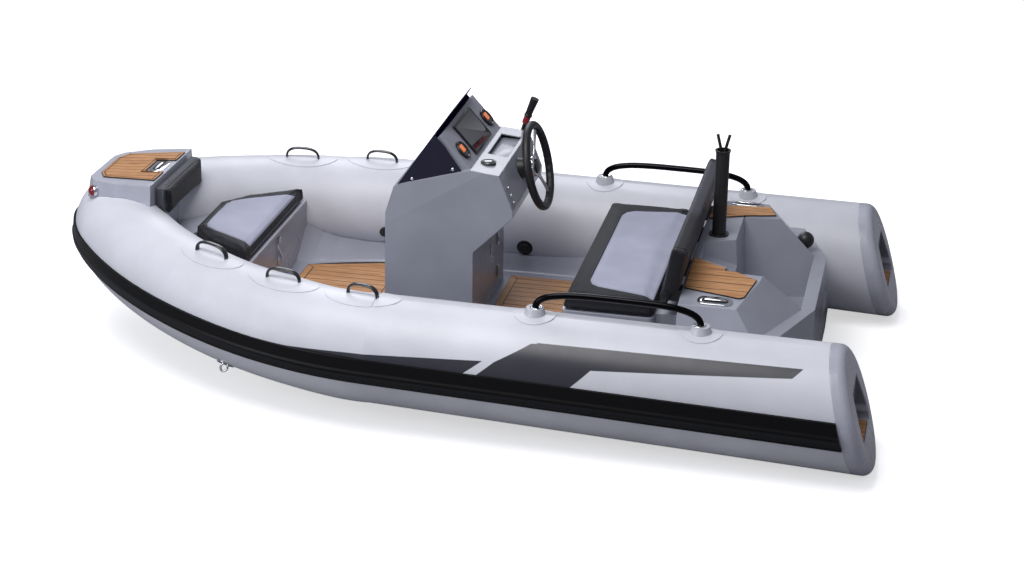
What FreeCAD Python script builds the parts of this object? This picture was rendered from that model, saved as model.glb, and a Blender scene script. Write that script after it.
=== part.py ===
"""Rigid inflatable boat, 3.3 m, with a steering console, a helm seat and a bow locker.

Millimetres. +X points to the bow, +Y to port, +Z up. The origin lies on the centreline at mid length,
in the plane of the water that the boat floats on. Every piece is one solid, or a set of like solids that
do not touch, written as one STEP file per node.
"""
import FreeCAD
import Part

import math
import os

V = FreeCAD.Vector

# Buoyancy tube
STERN_X = -1575.0            # aft end of the tubes' taper
BEND_X = 171.0               # where the straight side tubes begin to curve in
BOW_X = 1454.0               # centreline of the tube at the stem
TUBE_Y = 735.0               # half spacing of the side tubes' centrelines
STERN_RADIUS = 230.0
BOW_RADIUS = 187.0
TUBE_AXIS_Z = 240.0          # height of the tube's axis at the stern seam
SHEER_SLOPE = 0.028          # rise of the axis per length, all along
BOW_RISE = 96.0              # extra rise of the axis from the bend to the stem
SHOULDER = 718.0             # fullness of the curve where it leaves the side
FOREFOOT = 227.0             # fullness of the curve at the stem
CURVE_STATIONS = 7           # frames from the bend to the stem, on each side
RING_POINTS = 16             # points of the skin round each frame

# Rubbing strake
STRAKE_HALF_ANGLE = 14.0     # degrees of the tube that it covers, up and down
STRAKE_DROP = 1.5            # degrees its middle lies below the tube's widest line
STRAKE_THICK = 15.0
RIDGE_DEPTH = 5.0

# End caps of the tubes: both ends are cut on a slant, the top lying forward
SEAM_X = -1557.0             # seam with the tube, at the height of its axis
SEAM_SLANT = 0.27            # forward per height
CAP_FACE_X = -1624.0         # aft face, at the height of the tube's axis
CAP_FACE_SLANT = 0.33
CAP_EDGE = 36.0              # rounding of the aft rim
CAP_REACH = 170.0            # length of tube that the caps are cut from, past the seam
CAP_STEP_Z = -90.0           # floor of the boarding step, against the tube's axis
CAP_STEP_DEPTH_X = -1590.0   # inner wall of the step's recess
CAP_RECESS_HALF = 132.0
CAP_FLOOR_SHARE = 0.85       # width of the recess at its floor and top, against its middle
CAP_TOP_SHARE = 0.45
CAP_RECESS_TOP = 172.0       # above the tube's axis
CAP_PAD_THICK = 4.0
CAP_PAD_INSET = 10.0
CAP_PAD_CORNER = 14.0

# Hull
KEEL_DEPTH = 190.0           # below the water at the transom
TRANSOM_X = -1405.0          # outer face of the transom
CHINE_SHARE = 0.86           # chine's depth under the tube's axis, per radius
SEAM_GAP = 0.3               # between the tubes and whatever is fitted to them
BOW_GAP = 0.9                # the same round the bow tube, so that the fits meet in a clean step at the bend
SEAM_BITE = 10.0             # how far such a piece is drawn into the tubes before they are cut away
HULL_SLIM = 16.0             # half width of the stem
SPRAY_RAIL_DEPTH = 7.0
KEEL_SWEEP_X = 250.0         # where the keel starts to rise
STEM_FOOT_Z = 190.0          # height of the keel's end at the stem
SPRAY_RAIL_SHARE = 0.55      # place of the spray rail between keel and chine
FOREDECK_Z = 300.0           # top of the hull under the bow locker
HULL_BOW_X = 1385.0

# Cockpit
FLOOR_Z = 190.0
FLOOR_THICK = 20.0
LINER_FORE_X = 1225.0
FLOOR_MARGIN = 172.0         # from the tube's inner line to the foot of the cockpit's side
FLOOR_CURB = 9.0             # rise and width of the bevel at that foot
COAMING = ((-924.0, 262.0), (-500.0, 240.0), (-330.0, 205.0), (-190.0, 194.5), (450.0, 196.5), (560.0, 206.0),
           (673.0, 231.0), (735.0, 262.0), (798.0, 318.0))    # x and z of the liner's edge on the tube
LOCKER_WALL = 12.0
LOCKER_RIM = 55.0
LID_CLEAR = 6.0              # between the lid and the tubes' inner line
LID_OVERHANG = 16.0
LID_CORNER = (90.0, 40.0)    # length and width of the lid's cut fore corners
LOCKER_AFT_X = 810.0         # bulkhead that closes the bow locker
LOCKER_FORE_X = 1100.0
LOCKER_TOP_Z = 402.0

# Bow step
STEP_AFT_X = 1240.0
STEP_FORE_X = 1535.0
STEP_AFT_HALF = 235.0
STEP_FORE_HALF = 168.0
STEP_TOP_Z = 655.0
STEP_FRONT_DROP = 22.0
STEP_FOOT_Z = 400.0
STEP_FLARE = 38.0            # how far its sides spread from top to foot
STEP_BULGE = 14.0            # fullness of its sides at mid length
STEP_CHAMFER = (30.0, 45.0)  # length and width of its cut fore corners
STEP_AFT_RISE = 2.0          # the sloping top starts this far above its aft edge
BOLSTER_THICK = 62.0
BOLSTER_ROUND = 14.0
BOLSTER_HALF = 208.0
BOLSTER_BOTTOM_Z = 515.0
BOLSTER_TOP_Z = 641.0
CLEAT_HALF = 60.0
CLEAT_PLATE_R = 24.0
CLEAT_PLATE_T = 4.0
CLEAT_BAR = (42.0, 9.0, 7.0)     # half length, half width and height of the bar
CLEAT_ROUND = 3.0
CLEAT_NOTCH = 110.0
CLEAT_MARGIN = 12.0          # between a cleat and the pad round it
BOW_CLEAT_IN = 50.0          # from the step's aft edge to its cleat
LIGHT_RADIUS = 24.0
LIGHT_GAP = 0.3              # between a lamp and the step's side
LENS_CUT = 4.0               # plane of the lens, outboard of the lamp's middle
LIGHT_TURN = 62.0            # degrees that the lens is turned forward from abeam
LIGHT_X = 1500.0
LIGHT_Y = 186.0
LIGHT_Z = 596.0
TEAK_THICK = 5.0
TEAK_MARGIN = 6.0            # from a pad's edge to the edge of what carries it
PAD_BORDER = 60.0            # of bare floor at the ends of its pads
HELM_PAD_HALF = 300.0

# Cushions
CUSHION_GAP = 0.3
CUSHION_THICK = 62.0
LID_THICK = 12.0

# Hasp on the bow locker
HASP_WIDE = 22.0
HASP_THICK = 4.0
HASP_LOW_Z = 247.0
HASP_HIGH_Z = 392.0
HASP_CATCH = 26.0
HASP_LEVER = (30.0, -12.0, -24.0, -10.0)     # heights of the lever's corners about the strap's middle

# Helm seat
SEAT_FRONT_X = -478.0
SEAT_AFT_X = -836.0
SEAT_TOP_Z = 485.0
SEAT_HALF = 530.0
SEAT_BASE_FRONT_X = -500.0
SEAT_BASE_HALF = 470.0
SEAT_CORNER = 28.0
LIP_IN = 6.0
LIP_TALL = 30.0

# Backrest
BACK_FOOT_X = -841.0         # front face at the foot
BACK_FOOT_Z = 466.0
BACK_STEP_Z = 530.0          # where the slim foot gives way to the padding
BACK_TOP_Z = 717.0
BACK_LEAN = 0.207            # aft per height
BACK_HALF = 534.0
BACK_FOOT_THICK = 32.0
BACK_THICK = 58.0
BACK_ROUND = 9.0
BACK_BRACKET_YS = (150.0, 400.0)
BACK_BRACKET_TALL = 44.0
BACK_BRACKET_WIDE = 60.0

# Aft deck and engine well
AFT_DECK_Z = 545.0
AFT_DECK_FRONT_X = -924.0
AFT_DECK_AFT_X = -1194.0     # aft corners of the level deck
AFT_DECK_INNER_Y = 344.0     # half width at those corners
DECK_SLOPE_Y = 300.0         # the deck falls outboard of this line
DECK_EDGE_Y = 560.0
DECK_EDGE_Z = 508.0
DECK_FOOT_Y = 606.0          # where the side facet goes down beside the tube
DECK_FOOT_Z = 425.0
BAND_X = -1351.0             # inner corners of the transom's top band
BAND_HALF = 287.0
BAND_BEVEL = (-1246.0, 533.0)    # where the band leaves the transom, x and y
BAND_WIDE = 52.0
WELL_FORE_X = -1064.0
WELL_HALF_FORE = 300.0       # at the height of the deck
WELL_HALF_AFT = 318.0
WELL_FLOOR_FORE_X = -1100.0
WELL_FLOOR_HALF_FORE = 170.0
WELL_FLOOR_HALF_AFT = 226.0
WELL_FLOOR_Z = 255.0
RECESS_Z = 440.0             # lower deck between the rigging tube's plateau and the port pad
RECESS_PORT = (187.0, 270.0)     # half widths at its fore and aft ends, port side
RECESS_STARBOARD = (10.0, -52.0)
TRANSOM_TOP_Z = 410.0
RIG_PLATEAU_Y = 232.0        # starboard edge of the bare deck round the rigging tube
PAD_AFT_BEVEL = ((30.0, 478.0), (48.0, 490.0))   # a deck pad's aft outer corners: forward of its end, half width
PAD_FORE_Y = 448.0           # half width of its fore outer corner
CLEAT_AT = (-1055.0, 520.0)
DECK_TILT = math.degrees(math.atan2(AFT_DECK_Z - DECK_EDGE_Z, DECK_EDGE_Y - DECK_SLOPE_Y))
TRANSOM_THICK = 52.0

# Console
CONSOLE_HALF = 275.0
CONSOLE_WALL = 5.0
CONSOLE_FRONT_X = 270.0
CONSOLE_AFT_X = -85.0
BROW = ((6.0, 652.0), (37.0, 755.0))     # front above the foot: how far it leans aft, and the height
DECK_FORE = (-72.0, 851.0)   # x and z of the dash deck's fore edge, at the foot of the dash
DECK_AFT = (-185.0, 839.0)   # its aft edge, where the sloped aft face starts
KNEE = (-240.0, 699.0)       # foot of the sloped aft face
KNEE_DROP = 28.0             # upright part below it
UNDERCUT_Z = 516.0           # where the underside meets the lower aft face
SILL_Z = 20.0                # height of the open foot above the floor
SILL_FRONT = 12.0
DOOR_HALF = 150.0
DOOR_BOTTOM_Z = 232.0
DOOR_TOP_Z = 455.0
DOOR_THICK = 5.0
DOOR_GAP = 2.0
HINGE_RADIUS = 5.0
HINGE_PIN = 2.5
HINGE_FIT = 0.05
HINGE_TALL = 24.0
HINGE_MIDDLE = 8.0
HINGE_GAP = 0.5
HINGE_LEAF = 22.0
HINGE_SPREAD = 70.0
LID_HINGE_OUT = 6.0          # from the lid's fore edge to its pin
LID_HINGE_LIFT = 0.5         # of the lid's knuckles off the liner
LID_HINGE_Y = 80.0

LATCH_RADIUS = 20.0
LATCH_THICK = 5.0
LATCH_Y = -40.0
LATCH_Z = 411.0
LATCH_DROP = 62.0
HOOD_HALF = 255.0
HOOD_TOP = (66.0, 958.0)     # x and z of the hood's fore upper edge
HOOD_AFT_TOP = (45.0, 980.0)     # top of the dash
HOOD_FOOT = (-36.0, 841.0)   # where the hood's underside and the screen's wings start
HOOD_FORE_FOOT = (190.0, 776.0)
TRAY = (-172.0, -92.0, -190.0, 60.0, 830.0)      # x, x, y, y and floor of the tray in the dash deck
CREASE = ((187.0, 654.0), (-111.0, 835.0))    # x and z where the flank begins to lean in to the hood

# Windscreen
SCREEN_THICK = 4.0
SCREEN_HALF = 265.0
SCREEN_FOOT_X = 215.0
SCREEN_FOOT_Z = 769.0
SCREEN_FOLD_X = 72.0
SCREEN_FOLD_Z = 979.0
SCREEN_CROWN = 80.0
SCREEN_TOP_SHARE = 0.55      # width of the pane's top edge
WING_TOP = (36.0, 943.0)     # x and z of a wing's upper aft corner

# Dash
DISPLAY_HALF = 128.0
DISPLAY_TALL = 142.0
DISPLAY_THICK = 6.0
DISPLAY_CORNER = 5.0
GAUGE_RADIUS = 38.0
GAUGE_THICK = 7.0
GAUGE_Y = 202.0
GAUGE_DROP = 16.0            # below the middle of the dash
COMPASS_RADIUS = 30.0
COMPASS_THICK = 6.0
COMPASS_X = -118.0
COMPASS_Y = 161.0
SWITCH_RADIUS = 8.0
SWITCH_TALL = 8.0
SWITCH_Y = 240.0
SWITCH_FIRST = 60.0          # below the upper edge of the aft face
SWITCH_PITCH = 31.0
SWITCH_COUNT = 3
THROTTLE_X = -140.0
THROTTLE_Z = 760.0
THROTTLE_DISC = (38.0, 24.0)     # radius and thickness of its housing
LEVER_ROUTE = ((0.0, 30.0, 0.0), (-12.0, 34.0, 70.0), (-30.0, 10.0, 120.0), (-62.0, 6.0, 205.0))
LEVER_RADIUS = 9.0
LEVER_BEND = 12.0
GRIP_AT = (-36.0, 8.0, 138.0)    # like the route: aft, outboard and up from the housing's middle
GRIP_LEAN = (-0.36, 0.93)
GRIP_RADII = (13.0, 17.0)
GRIP_LENGTH = 82.0

# Steering wheel
WHEEL_DIAMETER = 350.0
WHEEL_RIM_RADIUS = 14.5
WHEEL_X = -281.0
WHEEL_Z = 795.0
WHEEL_RAKE = 13.3            # degrees that the wheel's top leans forward
STEER_SHAFT_R = 11.0
STEER_STUB = 36.0
STEER_CLEAR = 3.0
SHAFT_FIT = 0.05
STEER_BOSS_LENGTH = 46.0
STEER_BOSS_RADII = (44.0, 30.0)
HUB_RADIUS = 42.0
HUB_THICK = 18.0
HUB_DISH = 26.0              # how far the hub's far face lies below the rim
SPOKE_TURNS = (90, 210, 330)
SPOKE_HALVES = (14.0, 9.0)   # half widths at the hub and at the rim
SPOKE_THICK = 10.0
SPOKE_START = 30.0

# Rails, handles and fittings on the tubes
RAIL_RADIUS = 12.5
RAIL_FORE_X = -424.0
RAIL_AFT_X = -1033.0
RAIL_HEIGHT = 86.0
RAIL_RAKE = 60.0
RAIL_BEND = 50.0
RAIL_Y = 726.0
CUP_FLOOR = 14.0
CUP_RADIUS = 44.0
CUP_TAPER = 12.0
CUP_HEIGHT = 26.0
CUP_SINK = 10.0              # how far cups and handles are drawn into the tube before it is cut away
PATCH_THICK = 2.5
PATCH_LENGTH = 300.0
PATCH_WIDTH = 150.0
BASE_PATCH_RADIUS = 78.0
HANDLE_SPANS = ((145, 305), (463, 628), (787, 946))
HANDLE_HEIGHT = 46.0
HANDLE_WIDE = 26.0
HANDLE_THICK = 12.0
HANDLE_RAKE = 34.0
HANDLE_CORNER = 24.0
VALVE_XS = (-121.0, 528.0)
VALVE_RISE = 14.0            # degrees that the valves sit below the tube's inboard middle
VALVE_RADIUS = 34.0
VALVE_THICK = 3.0            # of its base, above the skin
VALVE_CAP_RADIUS = 24.0
VALVE_CAP_TALL = 9.0
VALVE_RIB = (0.8, 3.0, 13.0)     # length per cap radius, half width and height
TOW_EYE_X = 723.0
TOW_EYE_DROP = 52.0          # degrees below the tube's outboard middle
TOW_PAD = 34.0
TOW_PAD_THICK = 4.0
TOW_RING = 16.0
TOW_WIRE = 4.0

# Rigging tube
RIG_X = -990.0
RIG_Y = -80.0
RIG_FOOT_Z = AFT_DECK_Z
RIG_HEIGHT = 349.0
RIG_RADIUS = 27.0
RIG_WALL = 3.0
RIG_LIP = 4.0
RIG_FLANGE = 12.0
CABLE_RADIUS = 6.0
CABLE_RISE = 62.0            # how far the cables stand above the tube

# Ball on the transom
BALL_RADIUS = 34.0
BALL_AT = (-1312.0, -330.0, 456.0)


def bezier(p0, p1, p2, p3, t):
    """Point of a cubic curve at t, for numbers."""
    u = 1.0 - t
    return u ** 3 * p0 + 3 * u ** 2 * t * p1 + 3 * u * t ** 2 * p2 + t ** 3 * p3


def axis_point(t):
    """Point of the tube's axis: t runs 0 at the bend on the port side to 1 at the stem."""
    x = bezier(BEND_X, BEND_X + SHOULDER, BOW_X, BOW_X, t)
    y = bezier(TUBE_Y, TUBE_Y, FOREFOOT, 0.0, t)
    along = max(0.0, (x - BEND_X) / (BOW_X - BEND_X))
    z = TUBE_AXIS_Z + SHEER_SLOPE * (x - STERN_X) + BOW_RISE * along ** 2
    return V(x, y, z)


def side_point(x):
    """Point of the port tube's axis abaft the bend."""
    return V(x, TUBE_Y, TUBE_AXIS_Z + SHEER_SLOPE * (x - STERN_X))


def radius_at(x):
    """The tube's radius, which tapers evenly from the stern to the stem."""
    share = (x - STERN_X) / (BOW_X - STERN_X)
    return STERN_RADIUS + (BOW_RADIUS - STERN_RADIUS) * share


def section_frame(point, forward):
    """Placement with local X outboard, local Y up and local Z along the tube."""
    forward = V(forward).normalize()
    outboard = V(0, 0, 1).cross(forward).normalize()
    up = forward.cross(outboard)
    turn = FreeCAD.Rotation(outboard, up, forward, "ZXY")
    return FreeCAD.Placement(point, turn)


def curve_frames():
    """Frames along the bow curve, from the port bend round the stem to the starboard bend."""
    frames = []
    step = 1e-3
    for i in range(CURVE_STATIONS + 1):
        t = i / CURVE_STATIONS
        low = max(0.0, t - step)
        high = min(1.0, t + step)
        forward = axis_point(high) - axis_point(low)
        if i == CURVE_STATIONS:
            forward = V(0, -1, 0)
        if i == 0:
            forward = V(1, 0, SHEER_SLOPE)
        frames.append((section_frame(axis_point(t), forward), radius_at(axis_point(t).x)))
    mirrored = []
    for frame, radius in reversed(frames[:-1]):
        base = V(frame.Base.x, -frame.Base.y, frame.Base.z)
        ahead = frame.Rotation.multVec(V(0, 0, 1))
        mirrored.append((section_frame(base, V(-ahead.x, ahead.y, -ahead.z)), radius))
    return frames + mirrored


def placed(shape, frame):
    shape = shape.copy()
    shape.Placement = frame
    return shape


def mirror_y(shape):
    return shape.mirror(V(0, 0, 0), V(0, 1, 0))


def both_sides(shape):
    return Part.makeCompound([shape, mirror_y(shape)])


def polygon(points):
    return Part.makePolygon([V(*p) for p in points] + [V(*points[0])])


def prism(points, vector):
    """Extruded polygon."""
    return Part.Face(polygon(points)).extrude(V(*vector))


def box(x0, x1, y0, y1, z0, z1):
    return Part.makeBox(x1 - x0, y1 - y0, z1 - z0, V(x0, y0, z0))


def loft(wires, ruled=True):
    return Part.makeLoft(wires, True, ruled)


def rounded(shape, radius, chosen):
    """Fillet of the edges for which chosen(edge) holds."""
    edges = [e for e in shape.Edges if chosen(e)]
    return shape.makeFillet(radius, edges)


def vertical(edge):
    if len(edge.Vertexes) != 2:
        return False
    span = edge.Vertexes[1].Point - edge.Vertexes[0].Point
    return abs(span.x) + abs(span.y) < 0.2 * abs(span.z)


def swept_tube(points, radius, bend):
    """Round bar along a polyline whose corners are rounded to the bend radius."""
    pts = [V(*p) for p in points]
    edges = []
    last = pts[0]
    for i in range(1, len(pts) - 1):
        before = (pts[i - 1] - pts[i]).normalize()
        after = (pts[i + 1] - pts[i]).normalize()
        half = before.getAngle(after) / 2
        cut = bend / math.tan(half)
        start = pts[i] + before * cut
        end = pts[i] + after * cut
        inward = (before + after).normalize()
        middle = pts[i] + inward * (bend / math.sin(half) - bend)
        edges.append(Part.makeLine(last, start))
        edges.append(Part.Arc(start, middle, end).toShape())
        last = end
    edges.append(Part.makeLine(last, pts[-1]))
    path = Part.Wire(edges)
    ring = Part.Wire(Part.makeCircle(radius, pts[0], (pts[1] - pts[0]).normalize()))
    return path.makePipeShell([ring], True, False, 2)


# Buoyancy tube

def stern_cut(x, slant):
    """Everything abaft a slanted plane that crosses the tube's axis at x."""
    size = 4 * STERN_RADIUS
    side = [(x - slant * size, TUBE_AXIS_Z - size), (x + slant * size, TUBE_AXIS_Z + size),
            (x - 4 * size, TUBE_AXIS_Z + size), (x - 4 * size, TUBE_AXIS_Z - size)]
    return prism([(px, TUBE_Y - size, pz) for px, pz in side], (0, 2 * size, 0))


def side_cone(x_aft, grow):
    """Port side tube from x_aft to the bend, with its radius grown."""
    start = side_point(x_aft)
    end = side_point(BEND_X)
    run = end - start
    return Part.makeCone(radius_at(x_aft) + grow, radius_at(BEND_X) + grow, run.Length, start, run)


def side_tube():
    return side_cone(STERN_X - CAP_REACH, 0).cut(stern_cut(SEAM_X, SEAM_SLANT))


def spline(points):
    """Smooth edge through points, with even parameters so that neighbours match."""
    curve = Part.BSplineCurve()
    curve.interpolate(Points=points, Parameters=[float(i) for i in range(len(points))])
    return curve.toShape()


def closed_solid(faces):
    shell = Part.makeShell(faces)
    shell.sewShape()
    solid = Part.makeSolid(Part.Shell(shell.Faces))
    if solid.Volume < 0:
        solid.reverse()
    return solid


def ring_points(radius, frame):
    """Points round one section of the tube, first and last alike."""
    ring = []
    for i in range(RING_POINTS + 1):
        a = 2 * math.pi * (i % RING_POINTS) / RING_POINTS
        ring.append(frame.multVec(V(radius * math.cos(a), radius * math.sin(a), 0)))
    return ring


def bow_tube(grow=0.0):
    """One smooth skin through the rings, closed by a flat bulkhead at each bend."""
    surface = Part.BSplineSurface()
    surface.interpolate([ring_points(radius + grow, frame) for frame, radius in curve_frames()])
    skin = surface.toShape()
    ends = []
    for edge in skin.Edges:
        if edge.isClosed() and edge.BoundBox.XLength < 2 * STERN_RADIUS * SHEER_SLOPE + 5:
            ends.append(Part.Face(Part.Wire(edge)))
    return closed_solid([skin] + ends)


def strake_outline(radius):
    """Corners of the band's section: over the lips and ridge, then back through the tube's skin."""
    half = STRAKE_HALF_ANGLE
    low = STRAKE_THICK - RIDGE_DEPTH
    outer = [(-half, -SEAM_BITE), (-half + 1, low), (-half + 6, low), (-half + 7.5, STRAKE_THICK),
             (-1, STRAKE_THICK), (1, low), (half - 1.5, low), (half, -SEAM_BITE)]
    corners = []
    for angle, out in outer:
        a = math.radians(angle - STRAKE_DROP)
        reach = radius + out
        corners.append(V(reach * math.cos(a), reach * math.sin(a), 0))
    return corners


def strake_length(frames):
    """One length of the band through the given frames."""
    sections = [[frame.multVec(c) for c in strake_outline(radius)] for frame, radius in frames]
    count = len(sections[0])
    if len(frames) == 2:
        return loft([polygon(section) for section in sections])
    lines = [spline([section[k] for section in sections]) for k in range(count)]
    faces = [Part.makeRuledSurface(lines[k], lines[(k + 1) % count]) for k in range(count)]
    faces += [Part.Face(polygon(section)) for section in (sections[0], sections[-1])]
    return closed_solid(faces)


def rubbing_strake(grown):
    """Three lengths, side, bow and side, each fitted to its own tube."""
    side_skin, bow_skin = grown
    frames = curve_frames()
    aft = section_frame(side_point(STERN_X - CAP_REACH / 4), V(1, 0, SHEER_SLOPE))
    length = strake_length([(aft, radius_at(aft.Base.x)), frames[0]])
    port = length.cut([stern_cut(SEAM_X, SEAM_SLANT), side_skin])
    return strake_length(frames).cut(bow_skin).fuse([port, mirror_y(port)])


# End caps

def end_cap():
    """Slanted cap of the port tube, with a boarding step sunk in its aft face."""
    blank = side_cone(STERN_X - CAP_REACH, 0).cut(stern_cut(CAP_FACE_X, CAP_FACE_SLANT))
    rim = min((e for e in blank.Edges if e.isClosed()), key=lambda e: e.CenterOfMass.x)
    body = blank.makeFillet(CAP_EDGE, [rim]).common(stern_cut(SEAM_X, SEAM_SLANT))
    return body.cut(cap_recess())


def cap_recess():
    """Hollow behind the slanted face: upright inner wall, level floor, arched top."""
    half = CAP_RECESS_HALF
    floor = TUBE_AXIS_Z + CAP_STEP_Z
    top = TUBE_AXIS_Z + CAP_RECESS_TOP
    middle = TUBE_AXIS_Z + CAP_STEP_Z / 4
    left = [V(0, TUBE_Y - half * CAP_FLOOR_SHARE, floor), V(0, TUBE_Y - half, middle),
            V(0, TUBE_Y - half * CAP_TOP_SHARE, top)]
    right = [V(0, 2 * TUBE_Y - p.y, p.z) for p in reversed(left)]
    sides = [spline(left), Part.makeLine(left[-1], right[0]),
             spline(right), Part.makeLine(right[-1], left[0])]
    hollow = Part.Face(Part.Wire(sides)).extrude(V(-2 * CAP_REACH, 0, 0))
    hollow.translate(V(CAP_STEP_DEPTH_X, 0, 0))
    return hollow


def cap_pad():
    """Pad on the step's floor, a little inside its outline."""
    floor = TUBE_AXIS_Z + CAP_STEP_Z
    half = CAP_RECESS_HALF * CAP_FLOOR_SHARE - CAP_PAD_INSET
    aft = CAP_FACE_X + CAP_FACE_SLANT * CAP_STEP_Z + CAP_PAD_INSET
    fore = CAP_STEP_DEPTH_X - CAP_PAD_INSET / 2
    slab = box(aft, fore, TUBE_Y - half, TUBE_Y + half, floor, floor + CAP_PAD_THICK)
    return rounded(slab, CAP_PAD_CORNER, vertical)


# Lines that follow the tubes

def axis_at(x):
    """Port tube's axis point at a given x, on the side or on the bow curve."""
    if x <= BEND_X:
        return side_point(x)
    low = 0.0
    high = 1.0
    for _ in range(40):
        middle = (low + high) / 2
        if axis_point(middle).x < x:
            low = middle
        else:
            high = middle
    return axis_point(low)


def inner_offset(t, z, gap):
    """Point of the tube's inboard skin, grown by a gap, beside the axis point at t and at height z."""
    point = axis_point(t)
    step = 1e-3
    ahead = axis_point(min(1.0, t + step)) - axis_point(max(0.0, t - step))
    run = math.hypot(ahead.x, ahead.y)
    reach = radius_at(point.x) + gap
    height = min(abs(z - point.z), 0.98 * reach)
    across = math.sqrt(reach ** 2 - height ** 2)
    return point.x + across * ahead.y / run, point.y - across * ahead.x / run


def skin_line(x, z, gap):
    """Half width between the tubes at x and height z, less a gap."""
    if x <= BEND_X:
        reach = radius_at(x) + gap
        height = min(abs(z - side_point(x).z), 0.98 * reach)
        return TUBE_Y - math.sqrt(reach ** 2 - height ** 2)
    low = 0.0
    high = 1.0
    for _ in range(40):
        middle = (low + high) / 2
        if inner_offset(middle, z, gap)[0] < x:
            low = middle
        else:
            high = middle
    return inner_offset(low, z, gap)[1]


def inner_line(x, gap):
    """Half width between the tubes at their narrowest height, less a gap."""
    return skin_line(x, axis_at(x).z, gap)


def plan_face(inset, x_aft, x_fore, z):
    """Flat face between the tubes from x_aft to x_fore, its sides following the tubes."""
    edges = []
    corner = V(x_aft, inner_line(x_aft, inset), z)
    if x_fore > BEND_X:
        start = max(x_aft, BEND_X)
        if x_aft < BEND_X:
            bend = V(BEND_X, inner_line(BEND_X, inset), z)
            edges.append(Part.makeLine(corner, bend))
        stations = [start + (x_fore - start) * i / 4 for i in range(5)]
        curve = Part.BSplineCurve()
        curve.interpolate([V(x, inner_line(x, inset), z) for x in stations])
        edges.append(curve.toShape())
    else:
        edges.append(Part.makeLine(corner, V(x_fore, inner_line(x_fore, inset), z)))
    fore = V(x_fore, inner_line(x_fore, inset), z)
    port = Part.Wire(edges)
    starboard = mirror_y(port)
    cross = Part.makeLine(fore, V(fore.x, -fore.y, z))
    back = Part.makeLine(corner, V(corner.x, -corner.y, z))
    outline = Part.Wire(Part.__sortEdges__(port.Edges + [cross] + starboard.Edges + [back]))
    return Part.Face(outline)


def plan_block(inset, x_aft, x_fore, z0, z1):
    return plan_face(inset, x_aft, x_fore, z0).extrude(V(0, 0, z1 - z0))


# Hull

def hull_keel_z(x):
    """The keel runs level aft and sweeps up to the stem."""
    if x <= KEEL_SWEEP_X:
        return -KEEL_DEPTH
    share = (x - KEEL_SWEEP_X) / (HULL_BOW_X - KEEL_SWEEP_X)
    return -KEEL_DEPTH + (KEEL_DEPTH + STEM_FOOT_Z) * share ** 2.2


def stem_skin_z(x):
    """Height of the bow tube's underside on the centreline."""
    off = min(abs(BOW_X - x), BOW_RADIUS)
    return axis_point(1.0).z - math.sqrt(BOW_RADIUS ** 2 - off ** 2)


def hull_section(x, deck_z):
    """Deep V: keel, spray rail, chine under the tube, then a flange drawn into the tube's underside."""
    point = axis_at(x)
    top_z = deck_z
    limit_z = deck_z
    if BOW_X - x < BOW_RADIUS:
        top_z = min(deck_z, stem_skin_z(x) + SEAM_BITE)
        limit_z = stem_skin_z(x)
    chine_z = min(point.z - CHINE_SHARE * radius_at(x), limit_z - HULL_SLIM / 2)
    chine_y = max(skin_line(x, chine_z, -SEAM_BITE), HULL_SLIM)
    keel_z = min(hull_keel_z(x), chine_z - HULL_SLIM)
    rail_y = chine_y * SPRAY_RAIL_SHARE
    rail_z = keel_z + (chine_z - keel_z) * SPRAY_RAIL_SHARE
    port = [V(x, rail_y, rail_z + SPRAY_RAIL_DEPTH), V(x, rail_y + SPRAY_RAIL_DEPTH, rail_z),
            V(x, chine_y, chine_z)]
    seat = []
    for i in range(4):
        z = chine_z + (top_z - chine_z) * i / 3
        seat.append(V(x, max(skin_line(x, z, -SEAM_BITE), HULL_SLIM * (1 - 0.1 * i)), z))
    half = [Part.makeLine(start, end) for start, end in zip([V(x, 0, keel_z)] + port[:2], port)]
    half.append(spline(seat))
    other = [mirror_y(edge).Edges[0] for edge in reversed(half)]
    lid = Part.makeLine(seat[-1], V(x, -seat[-1].y, seat[-1].z))
    return Part.Wire(half + [lid] + other)


def hull(grown):
    """Ruled panels: an aft body under the cockpit floor and a fore body up to the bow step."""
    split = LOCKER_AFT_X - LOCKER_WALL
    floor = FLOOR_Z - FLOOR_THICK
    aft_stations = [TRANSOM_X] + [BEND_X + (split - BEND_X) * i / 3 for i in range(4)]
    count = 5
    fore_stations = [split + (HULL_BOW_X - split) * i / count for i in range(count + 1)]
    aft = loft([hull_section(x, floor) for x in aft_stations], True)
    fore = loft([hull_section(x, FOREDECK_Z) for x in fore_stations], True)
    hold = plan_block(LOCKER_RIM, LOCKER_AFT_X, LOCKER_FORE_X - LOCKER_RIM / 2, FLOOR_Z, FOREDECK_Z + 10)
    side_skin, bow_skin = grown
    body = aft.fuse(fore.cut(hold))
    return body.cut([side_skin, mirror_y(side_skin)]).cut(bow_skin)


# Cockpit liner

def floor_tray():
    """Cockpit floor with its sides, which rise gently outboard from a bevelled foot to the tubes."""
    low = FLOOR_Z - FLOOR_THICK
    sections = []
    for x, edge_z in COAMING:
        foot = inner_line(x, 0) - FLOOR_MARGIN
        edge = skin_line(x, edge_z, -SEAM_BITE)
        port = [(foot, FLOOR_Z), (foot + FLOOR_CURB, FLOOR_Z + FLOOR_CURB * 0.3),
                (edge, edge_z), (skin_line(x, low, -SEAM_BITE), low)]
        sections.append(polygon([(x, y, z) for y, z in port] + [(x, -y, z) for y, z in reversed(port)]))
    return loft(sections)


def bow_locker():
    """Upper part of the hold ahead of the cockpit, open on top under its lid."""
    block = plan_block(-SEAM_BITE, LOCKER_AFT_X - LOCKER_WALL, LINER_FORE_X, FOREDECK_Z, LOCKER_TOP_Z)
    hold = plan_block(LOCKER_RIM, LOCKER_AFT_X, LOCKER_FORE_X - LOCKER_RIM / 2, FLOOR_Z, LOCKER_TOP_Z + 50)
    return block, hold


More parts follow.
